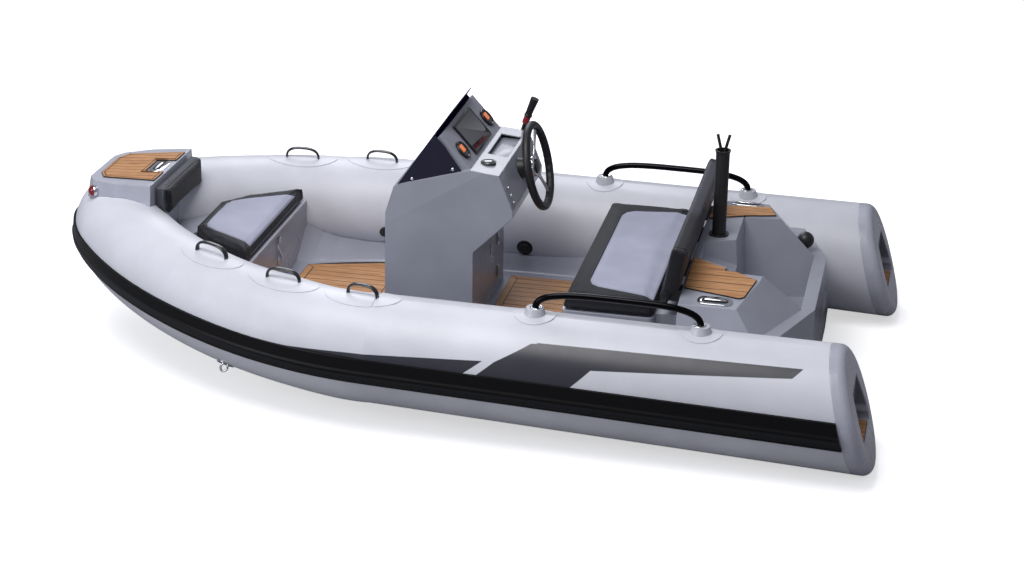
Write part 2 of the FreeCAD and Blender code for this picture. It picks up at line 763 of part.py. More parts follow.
def deck_facet(points):
    """Half space above the plane through three points, as a thick slab."""
    a, b, c = [V(*p) for p in points]
    normal = (b - a).cross(c - a).normalize()
    if normal.z < 0:
        normal = normal * -1
    along = (b - a).normalize()
    across = normal.cross(along)
    size = 1200.0
    corners = [a + along * (size * i) + across * (size * j) for i, j in ((-1, -1), (1, -1), (1, 1), (-1, 1))]
    return Part.Face(Part.makePolygon(corners + [corners[0]])).extrude(normal * size)


def well_cut():
    """The engine well: a tapered hollow whose walls lean outward."""
    aft = TRANSOM_X + TRANSOM_THICK

    def rim(fore, half_fore, half_aft, z):
        return polygon([(fore, -half_fore, z), (aft, -half_aft, z), (aft, half_aft, z), (fore, half_fore, z)])

    return loft([rim(WELL_FLOOR_FORE_X, WELL_FLOOR_HALF_FORE, WELL_FLOOR_HALF_AFT, WELL_FLOOR_Z),
                 rim(WELL_FORE_X, WELL_HALF_FORE, WELL_HALF_AFT, AFT_DECK_Z + 2)])


def recess_cut():
    """Lower deck forward of the well, open to it, beside the rigging tube's plateau."""
    front = AFT_DECK_FRONT_X - TRANSOM_THICK / 2
    aft = WELL_FLOOR_FORE_X
    plan = [(front, RECESS_STARBOARD[0]), (aft, RECESS_STARBOARD[1]),
            (aft, RECESS_PORT[1]), (front, RECESS_PORT[0])]
    low = polygon([(x, y * 0.8 + 20, RECESS_Z + (x - aft) * 0.35) for x, y in plan])
    high = polygon([(x, y, AFT_DECK_Z + 2) for x, y in plan])
    return loft([low, high])


def aft_moulding(side_tubes):
    """Aft deck that falls away outboard and, by a facet each side, down to the transom's top band."""
    foot = FLOOR_Z - FLOOR_THICK
    bevel_x, bevel_y = BAND_BEVEL
    plan = [(AFT_DECK_FRONT_X, DECK_FOOT_Y), (bevel_x - BAND_WIDE * 0.6, DECK_FOOT_Y),
            (TRANSOM_X, BAND_HALF - 22)]
    outline = plan + [(x, -y) for x, y in reversed(plan)]
    block = prism([(x, y, foot) for x, y in outline], (0, 0, AFT_DECK_Z - foot))
    lines = [(DECK_SLOPE_Y, AFT_DECK_Z), (DECK_EDGE_Y, DECK_EDGE_Z), (DECK_FOOT_Y, DECK_FOOT_Z)]
    port = [deck_facet([(0, y0, z0), (-100, y0, z0), (0, y1, z1)])
            for (y0, z0), (y1, z1) in zip(lines, lines[1:])]
    port.append(deck_facet([(AFT_DECK_AFT_X, AFT_DECK_INNER_Y, AFT_DECK_Z), (BAND_X, BAND_HALF, TRANSOM_TOP_Z),
                            (bevel_x, bevel_y, TRANSOM_TOP_Z)]))
    middle = box(TRANSOM_X, BAND_X, -2 * DECK_FOOT_Y, 2 * DECK_FOOT_Y, TRANSOM_TOP_Z, AFT_DECK_Z + 1)
    upper = block.cut(port + [mirror_y(facet) for facet in port] + [middle])
    lower = prism([(x, y, foot) for x, y in outline], (0, 0, TRANSOM_TOP_Z - foot))
    return upper.fuse(lower).cut([well_cut(), recess_cut()]).cut(side_tubes)


def cockpit_liner(side_tubes, grown):
    side_skin, bow_skin = grown
    block, hold = bow_locker()
    tray = floor_tray().fuse([block])
    fitted = tray.cut([side_skin, mirror_y(side_skin)]).cut(bow_skin)
    body = fitted.fuse([aft_moulding(side_tubes)]).cut(hold)
    return body.removeSplitter()


# Bow step, bolster and nav lights

def step_outline(spread, z, drop):
    """Eight-cornered outline of the step, its fore end dropped."""
    long, wide = STEP_CHAMFER
    fore = STEP_FORE_X + spread
    half = STEP_AFT_HALF + spread
    slim = STEP_FORE_HALF + spread
    mid = (STEP_AFT_X + fore) / 2 + STEP_BULGE
    port = [(STEP_AFT_X, half, z), (mid, (half + slim) / 2 + STEP_BULGE, z - drop / 2),
            (fore - long, slim, z - drop), (fore, slim - wide, z - drop)]
    return polygon(port + [(x, -y, height) for x, y, height in reversed(port)])


def step_ends():
    """Ends of the sloping top, x and z, a little past the step both ways."""
    return ((STEP_AFT_X - STEP_BULGE, STEP_TOP_Z + STEP_AFT_RISE),
            (STEP_FORE_X + STEP_FLARE, STEP_TOP_Z - STEP_FRONT_DROP))


def step_plane_z(x):
    """Height of the step's sloped top at x."""
    (x0, z0), (x1, z1) = step_ends()
    return z0 + (z1 - z0) * (x - x0) / (x1 - x0)


def bow_step(tubes):
    body = loft([step_outline(STEP_FLARE, STEP_FOOT_Z, 0), step_outline(0, STEP_TOP_Z, 0)])
    (x0, z0), (x1, z1) = step_ends()
    half = 2 * STEP_AFT_HALF
    high = z0 + STEP_FLARE
    above = prism([(x, -half, z) for x, z in ((x0, high), (x0, z0), (x1, z1), (x1, high))], (0, 2 * half, 0))
    return body.cut(above).cut(tubes)


def bow_step_teak():
    """Pad on the sloping top, notched round the cleat."""
    aft = STEP_AFT_X + TEAK_MARGIN
    fore = STEP_FORE_X - 5 * TEAK_MARGIN
    wide = STEP_AFT_HALF - 10 * TEAK_MARGIN
    slim = STEP_FORE_HALF - 5 * TEAK_MARGIN
    long, across = STEP_CHAMFER
    port = [(aft, wide), (fore - long, slim + TEAK_MARGIN), (fore, slim - across)]
    outline = port + [(x, -y) for x, y in reversed(port)]
    pad = prism([(x, y, step_plane_z(x)) for x, y in outline], (0, 0, TEAK_THICK))
    half = CLEAT_PLATE_R + CLEAT_MARGIN
    cleat_x = STEP_AFT_X + BOW_CLEAT_IN
    notch = box(STEP_AFT_X, cleat_x + half, -CLEAT_HALF - CLEAT_MARGIN, CLEAT_HALF + CLEAT_MARGIN,
                STEP_FOOT_Z, 2 * STEP_TOP_Z)
    return pad.cut(notch)


def cleat(x, y, z, turn):
    """Pop-up cleat lying flush in its oval plate."""
    plate = Part.makeCylinder(CLEAT_PLATE_R, CLEAT_PLATE_T, V(-CLEAT_HALF + CLEAT_PLATE_R, 0, 0))
    other = Part.makeCylinder(CLEAT_PLATE_R, CLEAT_PLATE_T, V(CLEAT_HALF - CLEAT_PLATE_R, 0, 0))
    straight = CLEAT_HALF - CLEAT_PLATE_R
    middle = box(-straight, straight, -CLEAT_PLATE_R, CLEAT_PLATE_R, 0, CLEAT_PLATE_T)
    long, wide, tall = CLEAT_BAR
    bar = box(-long, long, -wide, wide, CLEAT_PLATE_T, CLEAT_PLATE_T + tall)
    body = plate.fuse([other, middle, rounded(bar, CLEAT_ROUND, vertical)]).removeSplitter()
    body.rotate(V(0, 0, 0), V(0, 0, 1), turn)
    body.translate(V(x, y, z))
    return body


def bolster():
    """Pad on the step's aft face, leaning forward with it."""
    block = box(STEP_AFT_X - BOLSTER_THICK, STEP_AFT_X - CUSHION_GAP, -BOLSTER_HALF, BOLSTER_HALF,
                BOLSTER_BOTTOM_Z, BOLSTER_TOP_Z)
    return rounded(block, BOLSTER_ROUND, lambda e: abs(e.BoundBox.XMax - STEP_AFT_X + BOLSTER_THICK) < 1)


def beside_step(gap):
    """Space outboard of the step's port side, abaft its cut corner, off it by a gap."""
    top = step_outline(0, STEP_TOP_Z, 0).Vertexes
    foot = step_outline(STEP_FLARE, STEP_FOOT_Z, 0).Vertexes
    space = deck_facet([top[1].Point, top[2].Point, foot[2].Point])
    space.translate(V(gap, gap, 0))
    return space


def nav_light():
    """Round lamp body flattened against the step's side, and its lens outboard."""
    ball = Part.makeSphere(LIGHT_RADIUS)
    outer = box(-LIGHT_RADIUS, LIGHT_RADIUS, LENS_CUT, LIGHT_RADIUS, -LIGHT_RADIUS, LIGHT_RADIUS)
    pieces = [ball.cut(outer), ball.common(outer)]
    for piece in pieces:
        piece.rotate(V(0, 0, 0), V(0, 0, 1), -LIGHT_TURN)
        piece.translate(V(LIGHT_X, LIGHT_Y, LIGHT_Z))
    return [piece.common(beside_step(LIGHT_GAP)) for piece in pieces]


# Bow locker lid and cushion

def lid_outline(inset, z0, z1):
    """Plan between the tubes, its fore corners cut off so that it can swing up."""
    plan = plan_block(LID_CLEAR + inset, LOCKER_AFT_X - LID_OVERHANG, LOCKER_FORE_X - inset, z0, z1)
    long, wide = LID_CORNER
    fore = LOCKER_FORE_X
    inner = inner_line(fore, LID_CLEAR)
    start = inner_line(fore - long, LID_CLEAR)
    corner = prism([(fore - long, start, z0), (fore, inner - wide, z0), (fore + long, inner - wide, z0),
                    (fore + long, start + long, z0), (fore - long, start + long, z0)], (0, 0, z1 - z0))
    return plan.cut([corner, mirror_y(corner)])


def bow_locker_lid():
    """Flat lid with its hinges' middle knuckles on its fore edge."""
    panel = lid_outline(0, LOCKER_TOP_Z + LID_HINGE_LIFT, LOCKER_TOP_Z + LID_THICK)
    return panel.fuse([placed(moving_knuckle(), place) for place in lid_places()])


def bow_locker_cushion():
    base = LOCKER_TOP_Z + LID_THICK + CUSHION_GAP
    return lid_outline(0, base, base + CUSHION_THICK)


def locker_latch():
    """Upright hasp on the locker's front, with a lever that stands off it."""
    x = LOCKER_AFT_X - LOCKER_WALL
    half = HASP_WIDE / 2
    strap = box(x - HASP_THICK, x, -half, half, HASP_LOW_Z, HASP_HIGH_Z)
    middle = (HASP_LOW_Z + HASP_HIGH_Z) / 2
    reaches = (HASP_THICK, 5 * HASP_THICK, 5 * HASP_THICK, HASP_THICK)
    corners = [(x - reach, -half / 2, middle + up) for reach, up in zip(reaches, HASP_LEVER)]
    lever = prism(corners, (0, half, 0))
    catch = box(x - 3 * HASP_THICK, x, -half, half, HASP_HIGH_Z - HASP_CATCH, HASP_HIGH_Z)
    return strap.fuse([lever, catch]).removeSplitter()


# Helm seat

def helm_seat_base():
    """Box that carries the helm cushion, with a lip round its top and a low shelf under the backrest."""
    top = SEAT_TOP_Z - CUSHION_THICK - CUSHION_GAP
    body = box(AFT_DECK_FRONT_X, SEAT_BASE_FRONT_X, -SEAT_BASE_HALF, SEAT_BASE_HALF, FLOOR_Z, top)
    half = SEAT_HALF - LIP_IN
    lip = box(SEAT_AFT_X + LIP_IN, SEAT_FRONT_X - LIP_IN, -half, half, top - LIP_TALL, top)
    return body.fuse([rounded(lip, SEAT_CORNER - LIP_IN, vertical)]).removeSplitter()


def helm_seat_cushion():
    top = box(SEAT_AFT_X, SEAT_FRONT_X, -SEAT_HALF, SEAT_HALF, SEAT_TOP_Z - CUSHION_THICK, SEAT_TOP_Z)
    return rounded(top, SEAT_CORNER, vertical)


def back_front_x(z):
    """Front face of the backrest, which leans aft."""
    return BACK_FOOT_X - BACK_LEAN * (z - BACK_FOOT_Z)


def backrest_pad():
    """Wide low pad: slim at its foot, thicker above, extruded across."""
    levels = [(BACK_FOOT_Z, 0), (BACK_TOP_Z, 0), (BACK_TOP_Z - BACK_ROUND, BACK_THICK),
              (BACK_STEP_Z, BACK_THICK), (BACK_STEP_Z - BACK_ROUND, BACK_FOOT_THICK),
              (BACK_FOOT_Z, BACK_FOOT_THICK)]
    pad = prism([(back_front_x(z) - depth, -BACK_HALF, z) for z, depth in levels], (0, 2 * BACK_HALF, 0))

    def along_top(edge):
        return edge.BoundBox.ZMax > BACK_TOP_Z - 2 * BACK_ROUND and edge.BoundBox.YLength > BACK_HALF

    return rounded(pad, BACK_ROUND, along_top)


def backrest_brackets():
    """Blocks that hold the backrest's foot off the aft deck's front face."""
    blocks = []
    low = BACK_FOOT_Z + BACK_ROUND
    high = low + BACK_BRACKET_TALL
    depth = BACK_FOOT_THICK + CUSHION_GAP
    for y in BACK_BRACKET_YS:
        outline = [(AFT_DECK_FRONT_X, y, low), (back_front_x(low) - depth, y, low),
                   (back_front_x(high) - depth, y, high), (AFT_DECK_FRONT_X, y, high)]
        block = prism(outline, (0, BACK_BRACKET_WIDE, 0))
        blocks += [block, mirror_y(block)]
    return Part.makeCompound(blocks)


# Console

def console_profile():
    """Side outline of the console, x and z, clockwise from the floor at the front."""
    front = [(CONSOLE_FRONT_X, FLOOR_Z)] + [(CONSOLE_FRONT_X - lean, z) for lean, z in BROW]
    deck = [(SCREEN_FOOT_X, SCREEN_FOOT_Z), HOOD_FOOT, DECK_FORE, DECK_AFT]
    aft = [KNEE, (KNEE[0], KNEE[1] - KNEE_DROP), (CONSOLE_AFT_X, UNDERCUT_Z), (CONSOLE_AFT_X, FLOOR_Z)]
    return front + deck + aft


def flank_facet(inward):
    """Space outboard of the port flank's leaning upper part, moved inward."""
    (x0, z0), (x1, z1) = CREASE
    top_x, top_z = HOOD_TOP
    facet = deck_facet([(x0, CONSOLE_HALF, z0), (x1, CONSOLE_HALF, z1), (top_x, HOOD_HALF, top_z)])
    facet.translate(V(0, -inward, 0))
    return facet


def without_flanks(body, inward):
    facet = flank_facet(inward)
    return body.cut([facet, mirror_y(facet)])


def console_shell():
    outer_wire = polygon([(x, -CONSOLE_HALF, z) for x, z in console_profile()])
    outer = without_flanks(Part.Face(outer_wire).extrude(V(0, 2 * CONSOLE_HALF, 0)), 0)
    inner_wire = outer_wire.makeOffset2D(-CONSOLE_WALL, 2)
    inner = Part.Face(inner_wire).extrude(V(0, 2 * (CONSOLE_HALF - CONSOLE_WALL), 0))
    inner.translate(V(0, CONSOLE_WALL, 0))
    inner = without_flanks(inner, CONSOLE_WALL)
    half = CONSOLE_HALF - CONSOLE_WALL
    open_foot = box(CONSOLE_AFT_X + CONSOLE_WALL, CONSOLE_FRONT_X - SILL_FRONT, -half, half,
                    FLOOR_Z - SILL_Z, FLOOR_Z + SILL_Z)
    opening = box(CONSOLE_AFT_X - CONSOLE_WALL, CONSOLE_AFT_X + 2 * CONSOLE_WALL, -DOOR_HALF, DOOR_HALF,
                  DOOR_BOTTOM_Z, DOOR_TOP_Z)
    hood_side = [DECK_FORE, HOOD_AFT_TOP, HOOD_TOP, HOOD_FORE_FOOT, HOOD_FOOT]
    hood = prism([(x, -HOOD_HALF, z) for x, z in hood_side], (0, 2 * HOOD_HALF, 0))
    tray = box(*TRAY, 2 * TRAY[-1])
    return outer.fuse(hood).cut([inner, open_foot, opening, tray])


def console_door():
    """Flat door set in the lower aft face; it turns on its starboard edge."""
    x = CONSOLE_AFT_X
    panel = box(x, x + DOOR_THICK, -DOOR_HALF + DOOR_GAP, DOOR_HALF - DOOR_GAP, DOOR_BOTTOM_Z + DOOR_GAP,
                DOOR_TOP_Z - DOOR_GAP)
    return panel.fuse([placed(moving_knuckle(), place) for place in door_places()])


def door_places():
    """Places of the door's hinges, their pins upright."""
    middle = (DOOR_BOTTOM_Z + DOOR_TOP_Z) / 2
    x = CONSOLE_AFT_X - HINGE_RADIUS
    heights = [middle - HINGE_SPREAD, middle + HINGE_SPREAD]
    return [FreeCAD.Placement(V(x, -DOOR_HALF, z), FreeCAD.Rotation()) for z in heights]


def lid_places():
    """Places of the lid's hinges, their pins across the boat."""
    turn = FreeCAD.Rotation(V(0, 0, -1), V(-1, 0, 0), V(0, 1, 0), "ZXY")
    x = LOCKER_FORE_X + LID_HINGE_OUT
    z = LOCKER_TOP_Z + HINGE_RADIUS + LID_HINGE_LIFT
    return [FreeCAD.Placement(V(x, side * LID_HINGE_Y, z), turn) for side in (-1, 1)]


def fixed_hinge(lift):
    """Leaf with two knuckles and the pin, round local Z; lift thickens the leaf."""
    r = HINGE_RADIUS
    pieces = [Part.makeCylinder(HINGE_PIN, 2 * HINGE_TALL, V(0, 0, -HINGE_TALL))]
    for low in (-HINGE_TALL, HINGE_MIDDLE + HINGE_GAP):
        tall = HINGE_TALL - HINGE_MIDDLE - HINGE_GAP
        pieces.append(Part.makeCylinder(r, tall, V(0, 0, low)))
        pieces.append(box(0, r, -r, 0, low, low + tall))
    leaf = box(r - 2, r + lift, -HINGE_LEAF, -r, -HINGE_TALL, HINGE_TALL)
    return leaf.fuse(pieces).removeSplitter()


def hinges():
    """Fixed halves of the door's and the lid's hinges."""
    return Part.makeCompound([placed(fixed_hinge(0), place) for place in door_places()]
                             + [placed(fixed_hinge(LID_HINGE_LIFT), place) for place in lid_places()])


def moving_knuckle():
    """Middle knuckle with its leaf, bored for the pin."""
    r = HINGE_RADIUS
    knuckle = Part.makeCylinder(r, 2 * HINGE_MIDDLE, V(0, 0, -HINGE_MIDDLE))
    leaf = box(r - 2, r, 0, HINGE_LEAF, -HINGE_MIDDLE, HINGE_MIDDLE)
    bore = Part.makeCylinder(HINGE_PIN + HINGE_FIT, 2 * HINGE_MIDDLE, V(0, 0, -HINGE_MIDDLE))
    return knuckle.fuse(leaf).cut(bore)


def door_latch():
    """Round lock with a finger pull below it."""
    x = CONSOLE_AFT_X
    lock = Part.makeCylinder(LATCH_RADIUS, LATCH_THICK, V(x - LATCH_THICK, LATCH_Y, LATCH_Z), V(1, 0, 0))
    low = LATCH_Z - LATCH_DROP
    wide = LATCH_RADIUS / 2
    pull = box(x - 2 * LATCH_THICK, x, LATCH_Y - LATCH_THICK, LATCH_Y + LATCH_THICK, low, low + LATCH_DROP / 2)
    plate = box(x - LATCH_THICK / 2, x, LATCH_Y - wide, LATCH_Y + wide, low, LATCH_Z)
    return lock.fuse([pull, plate])


def windscreen():
    """Raked pane with two side wings, in one sheet of acrylic."""
    foot = (SCREEN_FOOT_X, SCREEN_FOOT_Z)
    fold = (SCREEN_FOLD_X, SCREEN_FOLD_Z)
    rise = V(fold[0] - foot[0], 0, fold[1] - foot[1]).normalize()
    half = SCREEN_HALF
    slim = half * SCREEN_TOP_SHARE
    top = V(fold[0], 0, fold[1]) + rise * SCREEN_CROWN
    pane = prism([(foot[0], -half, foot[1]), (foot[0], half, foot[1]), (fold[0], half, fold[1]),
                  (top.x, slim, top.z), (top.x, -slim, top.z), (fold[0], -half, fold[1])],
                 (-SCREEN_THICK * rise.z, 0, SCREEN_THICK * rise.x))
    outline = (foot, fold, WING_TOP, HOOD_FOOT)
    wing = prism([(x, half - SCREEN_THICK, z) for x, z in outline], (0, SCREEN_THICK, 0))
    return pane.fuse([wing, mirror_y(wing)])


def dash_frame(shape):
    """Moves a flat piece, drawn in X (across) and Y (up the slope), to the dash panel."""
    (x0, z0), (x1, z1) = DECK_FORE, HOOD_AFT_TOP
    shape = shape.copy()
    shape.rotate(V(0, 0, 0), V(0, 0, 1), -90)
    shape.rotate(V(0, 0, 0), V(0, 1, 0), -math.degrees(math.atan2(z1 - z0, x1 - x0)))
    shape.translate(V((x0 + x1) / 2, 0, (z0 + z1) / 2))
    return shape


def dash_display():
    body = box(-DISPLAY_HALF, DISPLAY_HALF, -DISPLAY_TALL / 2, DISPLAY_TALL / 2, 0, DISPLAY_THICK)
    return dash_frame(rounded(body, DISPLAY_CORNER, vertical))


def dash_gauges():
    places = [V(side * GAUGE_Y, -GAUGE_DROP, 0) for side in (-1, 1)]
    dials = [Part.makeCylinder(GAUGE_RADIUS, GAUGE_THICK, place) for place in places]
    return Part.makeCompound([dash_frame(dial) for dial in dials])


def compass():
    return Part.makeCylinder(COMPASS_RADIUS, COMPASS_THICK, V(COMPASS_X, COMPASS_Y, deck_z(COMPASS_X)))


def deck_z(x):
    """Height of the dash deck at x."""
    (x0, z0), (x1, z1) = DECK_FORE, DECK_AFT
    return z0 + (z1 - z0) * (x - x0) / (x1 - x0)


def aft_face_frame(shape, y, along):
    """Moves a piece drawn along +Z to the sloped aft face, along mm below its top edge."""
    (x0, z0), (x1, z1) = KNEE, DECK_AFT
    slope = math.atan2(z1 - z0, x1 - x0)
    shape = shape.copy()
    shape.rotate(V(0, 0, 0), V(0, 1, 0), math.degrees(slope) - 180)
    shape.translate(V(x1 - along * math.cos(slope), y, z1 - along * math.sin(slope)))
    return shape


def switches():
    parts = []
    for i in range(SWITCH_COUNT):
        button = Part.makeCylinder(SWITCH_RADIUS, SWITCH_TALL)
        parts.append(aft_face_frame(button, SWITCH_Y, SWITCH_FIRST + SWITCH_PITCH * i))
    return Part.makeCompound(parts)


def throttle_lever():
    """Side-mounted lever: base disc on the console's flank, arm, band and grip."""
    def at(offset):
        aft, out, up = offset
        return V(THROTTLE_X + aft, -CONSOLE_HALF - out, THROTTLE_Z + up)

    radius, thick = THROTTLE_DISC
    disc = Part.makeCylinder(radius, thick, at((0, 0, 0)), V(0, -1, 0))
    arm = swept_tube([at(offset) for offset in LEVER_ROUTE], LEVER_RADIUS, LEVER_BEND)
    lean = V(GRIP_LEAN[0], 0, GRIP_LEAN[1])
    grip = Part.makeCone(GRIP_RADII[0], GRIP_RADII[1], GRIP_LENGTH, at(GRIP_AT), lean)
    return disc.fuse([arm, grip])


# Steering wheel

def wheel_frame(shape):
    """Moves a piece drawn round local Z (pointing to the helm) to the steering axis."""
    shape = shape.copy()
    shape.rotate(V(0, 0, 0), V(0, 1, 0), -90 + WHEEL_RAKE)
    shape.translate(V(WHEEL_X, 0, WHEEL_Z))
    return shape


def rim_ring():
    return Part.makeTorus(WHEEL_DIAMETER / 2 - WHEEL_RIM_RADIUS, WHEEL_RIM_RADIUS)


def wheel_rim():
    return wheel_frame(rim_ring())


def wheel_hub():
    """Dished hub with three spokes out to the rim, and the shaft behind it."""
    hub = Part.makeCylinder(HUB_RADIUS, HUB_THICK, V(0, 0, -HUB_DISH))
    reach = WHEEL_DIAMETER / 2 - 2 * WHEEL_RIM_RADIUS + 1
    spokes = []
    for turn in SPOKE_TURNS:
        ends = []
        middle = HUB_THICK / 2 - HUB_DISH
        for x, half, z in ((SPOKE_START, SPOKE_HALVES[0], middle), (reach, SPOKE_HALVES[1], 0)):
            low = z - SPOKE_THICK / 2
            high = z + SPOKE_THICK / 2
            ends.append(polygon([(x, -half, low), (x, half, low), (x, half, high), (x, -half, high)]))
        spoke = loft(ends)
        spoke.rotate(V(0, 0, 0), V(0, 0, 1), turn)
        spokes.append(spoke)
    shaft = Part.makeCylinder(STEER_SHAFT_R, STEER_STUB, V(0, 0, -HUB_DISH - STEER_STUB))
    return wheel_frame(hub.fuse(spokes + [shaft]).cut(rim_ring()))


def steering_boss():
    """Fixed boss on the console with a bore for the shaft."""
    length = STEER_BOSS_LENGTH
    face = -HUB_DISH - STEER_CLEAR
    boss = Part.makeCone(STEER_BOSS_RADII[0], STEER_BOSS_RADII[1], length, V(0, 0, face - length))
    bore = Part.makeCylinder(STEER_SHAFT_R + SHAFT_FIT, STEER_STUB + 1, V(0, 0, face - STEER_STUB))
    return wheel_frame(boss.cut(bore))


# Rails, handles and fittings on the tubes

def tube_top_z(x):
    return axis_at(x).z + radius_at(x)


def grab_rail():
    """Bar with a level middle and raked legs that end in the cups."""
    z0 = tube_top_z(RAIL_FORE_X)
    z1 = tube_top_z(RAIL_AFT_X)
    points = [(RAIL_FORE_X, RAIL_Y, z0 + CUP_FLOOR), (RAIL_FORE_X - RAIL_RAKE, RAIL_Y, z0 + RAIL_HEIGHT),
              (RAIL_AFT_X + RAIL_RAKE, RAIL_Y, z1 + RAIL_HEIGHT), (RAIL_AFT_X, RAIL_Y, z1 + CUP_FLOOR)]
    return swept_tube(points, RAIL_RADIUS, RAIL_BEND)


def rail_cups():
    cups = []
    for x in (RAIL_FORE_X, RAIL_AFT_X):
        foot = V(x, RAIL_Y, tube_top_z(x) - CUP_SINK)
        cups.append(Part.makeCone(CUP_RADIUS, CUP_RADIUS - CUP_TAPER, CUP_HEIGHT + CUP_SINK, foot))
    return cups


def on_crest(shape, x_aft, x_fore):
    """Moves a piece drawn along X, with its middle at zero, to the port tube's crest."""
    aft = axis_at(x_aft)
    fore = axis_at(x_fore)
    rise = tube_top_z(x_fore) - tube_top_z(x_aft)
    shape = shape.copy()
    shape.rotate(V(0, 0, 0), V(0, 1, 0), -math.degrees(math.atan2(rise, x_fore - x_aft)))
    shape.rotate(V(0, 0, 0), V(0, 0, 1), math.degrees(math.atan2(fore.y - aft.y, fore.x - aft.x)))
    middle = (aft + fore) * 0.5
    shape.translate(V(middle.x, middle.y, (tube_top_z(x_aft) + tube_top_z(x_fore)) / 2))
    return shape


def span_between(x_aft, x_fore):
    run = axis_at(x_fore) - axis_at(x_aft)
    return math.hypot(run.x, run.y)


def arch(half, height, rake):
    """Block with a level top and raked ends, its two upper corners rounded."""
    outline = [(-half, -2 * CUP_SINK), (-half + rake, height), (half - rake, height), (half, -2 * CUP_SINK)]
    block = prism([(x, -HANDLE_WIDE / 2, z) for x, z in outline], (0, HANDLE_WIDE, 0))
    return rounded(block, HANDLE_CORNER, lambda e: e.BoundBox.YLength > 1 and e.BoundBox.ZMin > height - 1)


def grab_handle(x_aft, x_fore):
    """Strap-like grip on the tube's crest: one arch cut out of another."""
    half = span_between(x_aft, x_fore) / 2
    inner = arch(half - HANDLE_THICK, HANDLE_HEIGHT - HANDLE_THICK, HANDLE_RAKE)
    return on_crest(arch(half, HANDLE_HEIGHT, HANDLE_RAKE).cut(inner), x_aft, x_fore)


def oval_column(x_aft, x_fore):
    """Upright oval column through the tube's crest, which bounds a reinforcing patch."""
    ring = Part.Ellipse(V(0, 0, 0), PATCH_LENGTH / 2, PATCH_WIDTH / 2)
    column = Part.Face(Part.Wire(ring.toShape())).extrude(V(0, 0, 2 * BOW_RADIUS))
    column.translate(V(0, 0, -BOW_RADIUS))
    return on_crest(column, x_aft, x_fore)


def tube_patches(side_skin, bow_skin, port, bow):
    """Thin patches that follow the tube under each handle and rail foot, parted at the tube's seam."""
    aft_of_seam = box(-BEND_X, BEND_X + SEAM_GAP, 0, 2 * TUBE_Y, 0, 2 * TUBE_Y)
    fore_of_seam = box(BEND_X - SEAM_GAP, BOW_X, 0, 2 * TUBE_Y, 0, 2 * TUBE_Y)
    patches = []
    for x_aft, x_fore in HANDLE_SPANS:
        column = oval_column(x_aft, x_fore)
        patches.append(column.cut(aft_of_seam).common(bow_skin).cut(bow))
        if x_aft < BEND_X:
            patches.append(column.cut(fore_of_seam).common(side_skin).cut(port))
    for x in (RAIL_FORE_X, RAIL_AFT_X):
        foot = V(x, RAIL_Y, tube_top_z(x) - BOW_RADIUS / 2)
        column = Part.makeCylinder(BASE_PATCH_RADIUS, BOW_RADIUS, foot)
        patches.append(column.common(side_skin).cut(port))
    return patches


def on_skin(shape, x, turn):
    """Moves a piece drawn on local Z to the port tube's skin at x, turned from outboard round the tube."""
    point = axis_at(x)
    shape = shape.copy()
    shape.translate(V(0, 0, radius_at(x)))
    shape.rotate(V(0, 0, 0), V(1, 0, 0), turn - 90)
    step = 2.0
    ahead = axis_at(x + step) - axis_at(x - step)
    shape.rotate(V(0, 0, 0), V(0, 0, 1), math.degrees(math.atan2(ahead.y, ahead.x)))
    shape.translate(point)
    return shape


def inflation_valve(x):
    """Round valve with its cap, on the inboard side of the tube."""
    root = V(0, 0, -VALVE_THICK)
    base = Part.makeCylinder(VALVE_RADIUS, 2 * VALVE_THICK, root)
    cap = Part.makeCylinder(VALVE_CAP_RADIUS, VALVE_THICK + VALVE_CAP_TALL, root)
    share, half, tall = VALVE_RIB
    rib = box(-VALVE_CAP_RADIUS * share, VALVE_CAP_RADIUS * share, -half, half, 0, tall)
    return on_skin(base.fuse([cap, rib]), x, 180 + VALVE_RISE)


def towing_eye():
    """Ring on an oval pad, low on the tube's outboard side near the bow."""
    pad = Part.makeCylinder(TOW_PAD, 2 * TOW_PAD_THICK, V(0, 0, -TOW_PAD_THICK))
    ring = Part.makeTorus(TOW_RING, TOW_WIRE, V(0, 0, TOW_RING), V(0, 1, 0))
    return on_skin(pad.fuse(ring), TOW_EYE_X, -TOW_EYE_DROP)


# Aft fittings

def aft_teak(deck, inner_fore):
    """Pad on the port side of the aft deck, bent over its outboard slope.

    inner_fore is the half width of the pad's inner fore corner.
    """
    fore = AFT_DECK_FRONT_X - TEAK_MARGIN
    aft = AFT_DECK_AFT_X + TEAK_MARGIN
    outline = [(fore, inner_fore + TEAK_MARGIN), (aft, AFT_DECK_INNER_Y + TEAK_MARGIN)]
    outline += [(aft + ahead, half) for ahead, half in PAD_AFT_BEVEL] + [(fore, PAD_FORE_Y)]
    column = prism([(x, y, DECK_FOOT_Z) for x, y in outline], (0, 0, AFT_DECK_Z))
    raised = deck.copy()
    raised.translate(V(0, 0, TEAK_THICK))
    return column.common(raised).cut(deck)


def rigging_tube():
    """Open upright tube with a flared mouth and a flange, for the engine's cables."""
    foot = V(RIG_X, RIG_Y, RIG_FOOT_Z)
    lip_tall = 4 * RIG_LIP
    outer = Part.makeCylinder(RIG_RADIUS, RIG_HEIGHT, foot)
    lip = Part.makeCone(RIG_RADIUS, RIG_RADIUS + RIG_LIP, lip_tall, foot + V(0, 0, RIG_HEIGHT - lip_tall))
    flange = Part.makeCylinder(RIG_RADIUS + RIG_FLANGE, 2 * RIG_WALL, foot)
    bore = Part.makeCylinder(RIG_RADIUS - RIG_WALL, RIG_HEIGHT, foot + V(0, 0, 3 * RIG_WALL))
    return outer.fuse([lip, flange]).cut(bore)


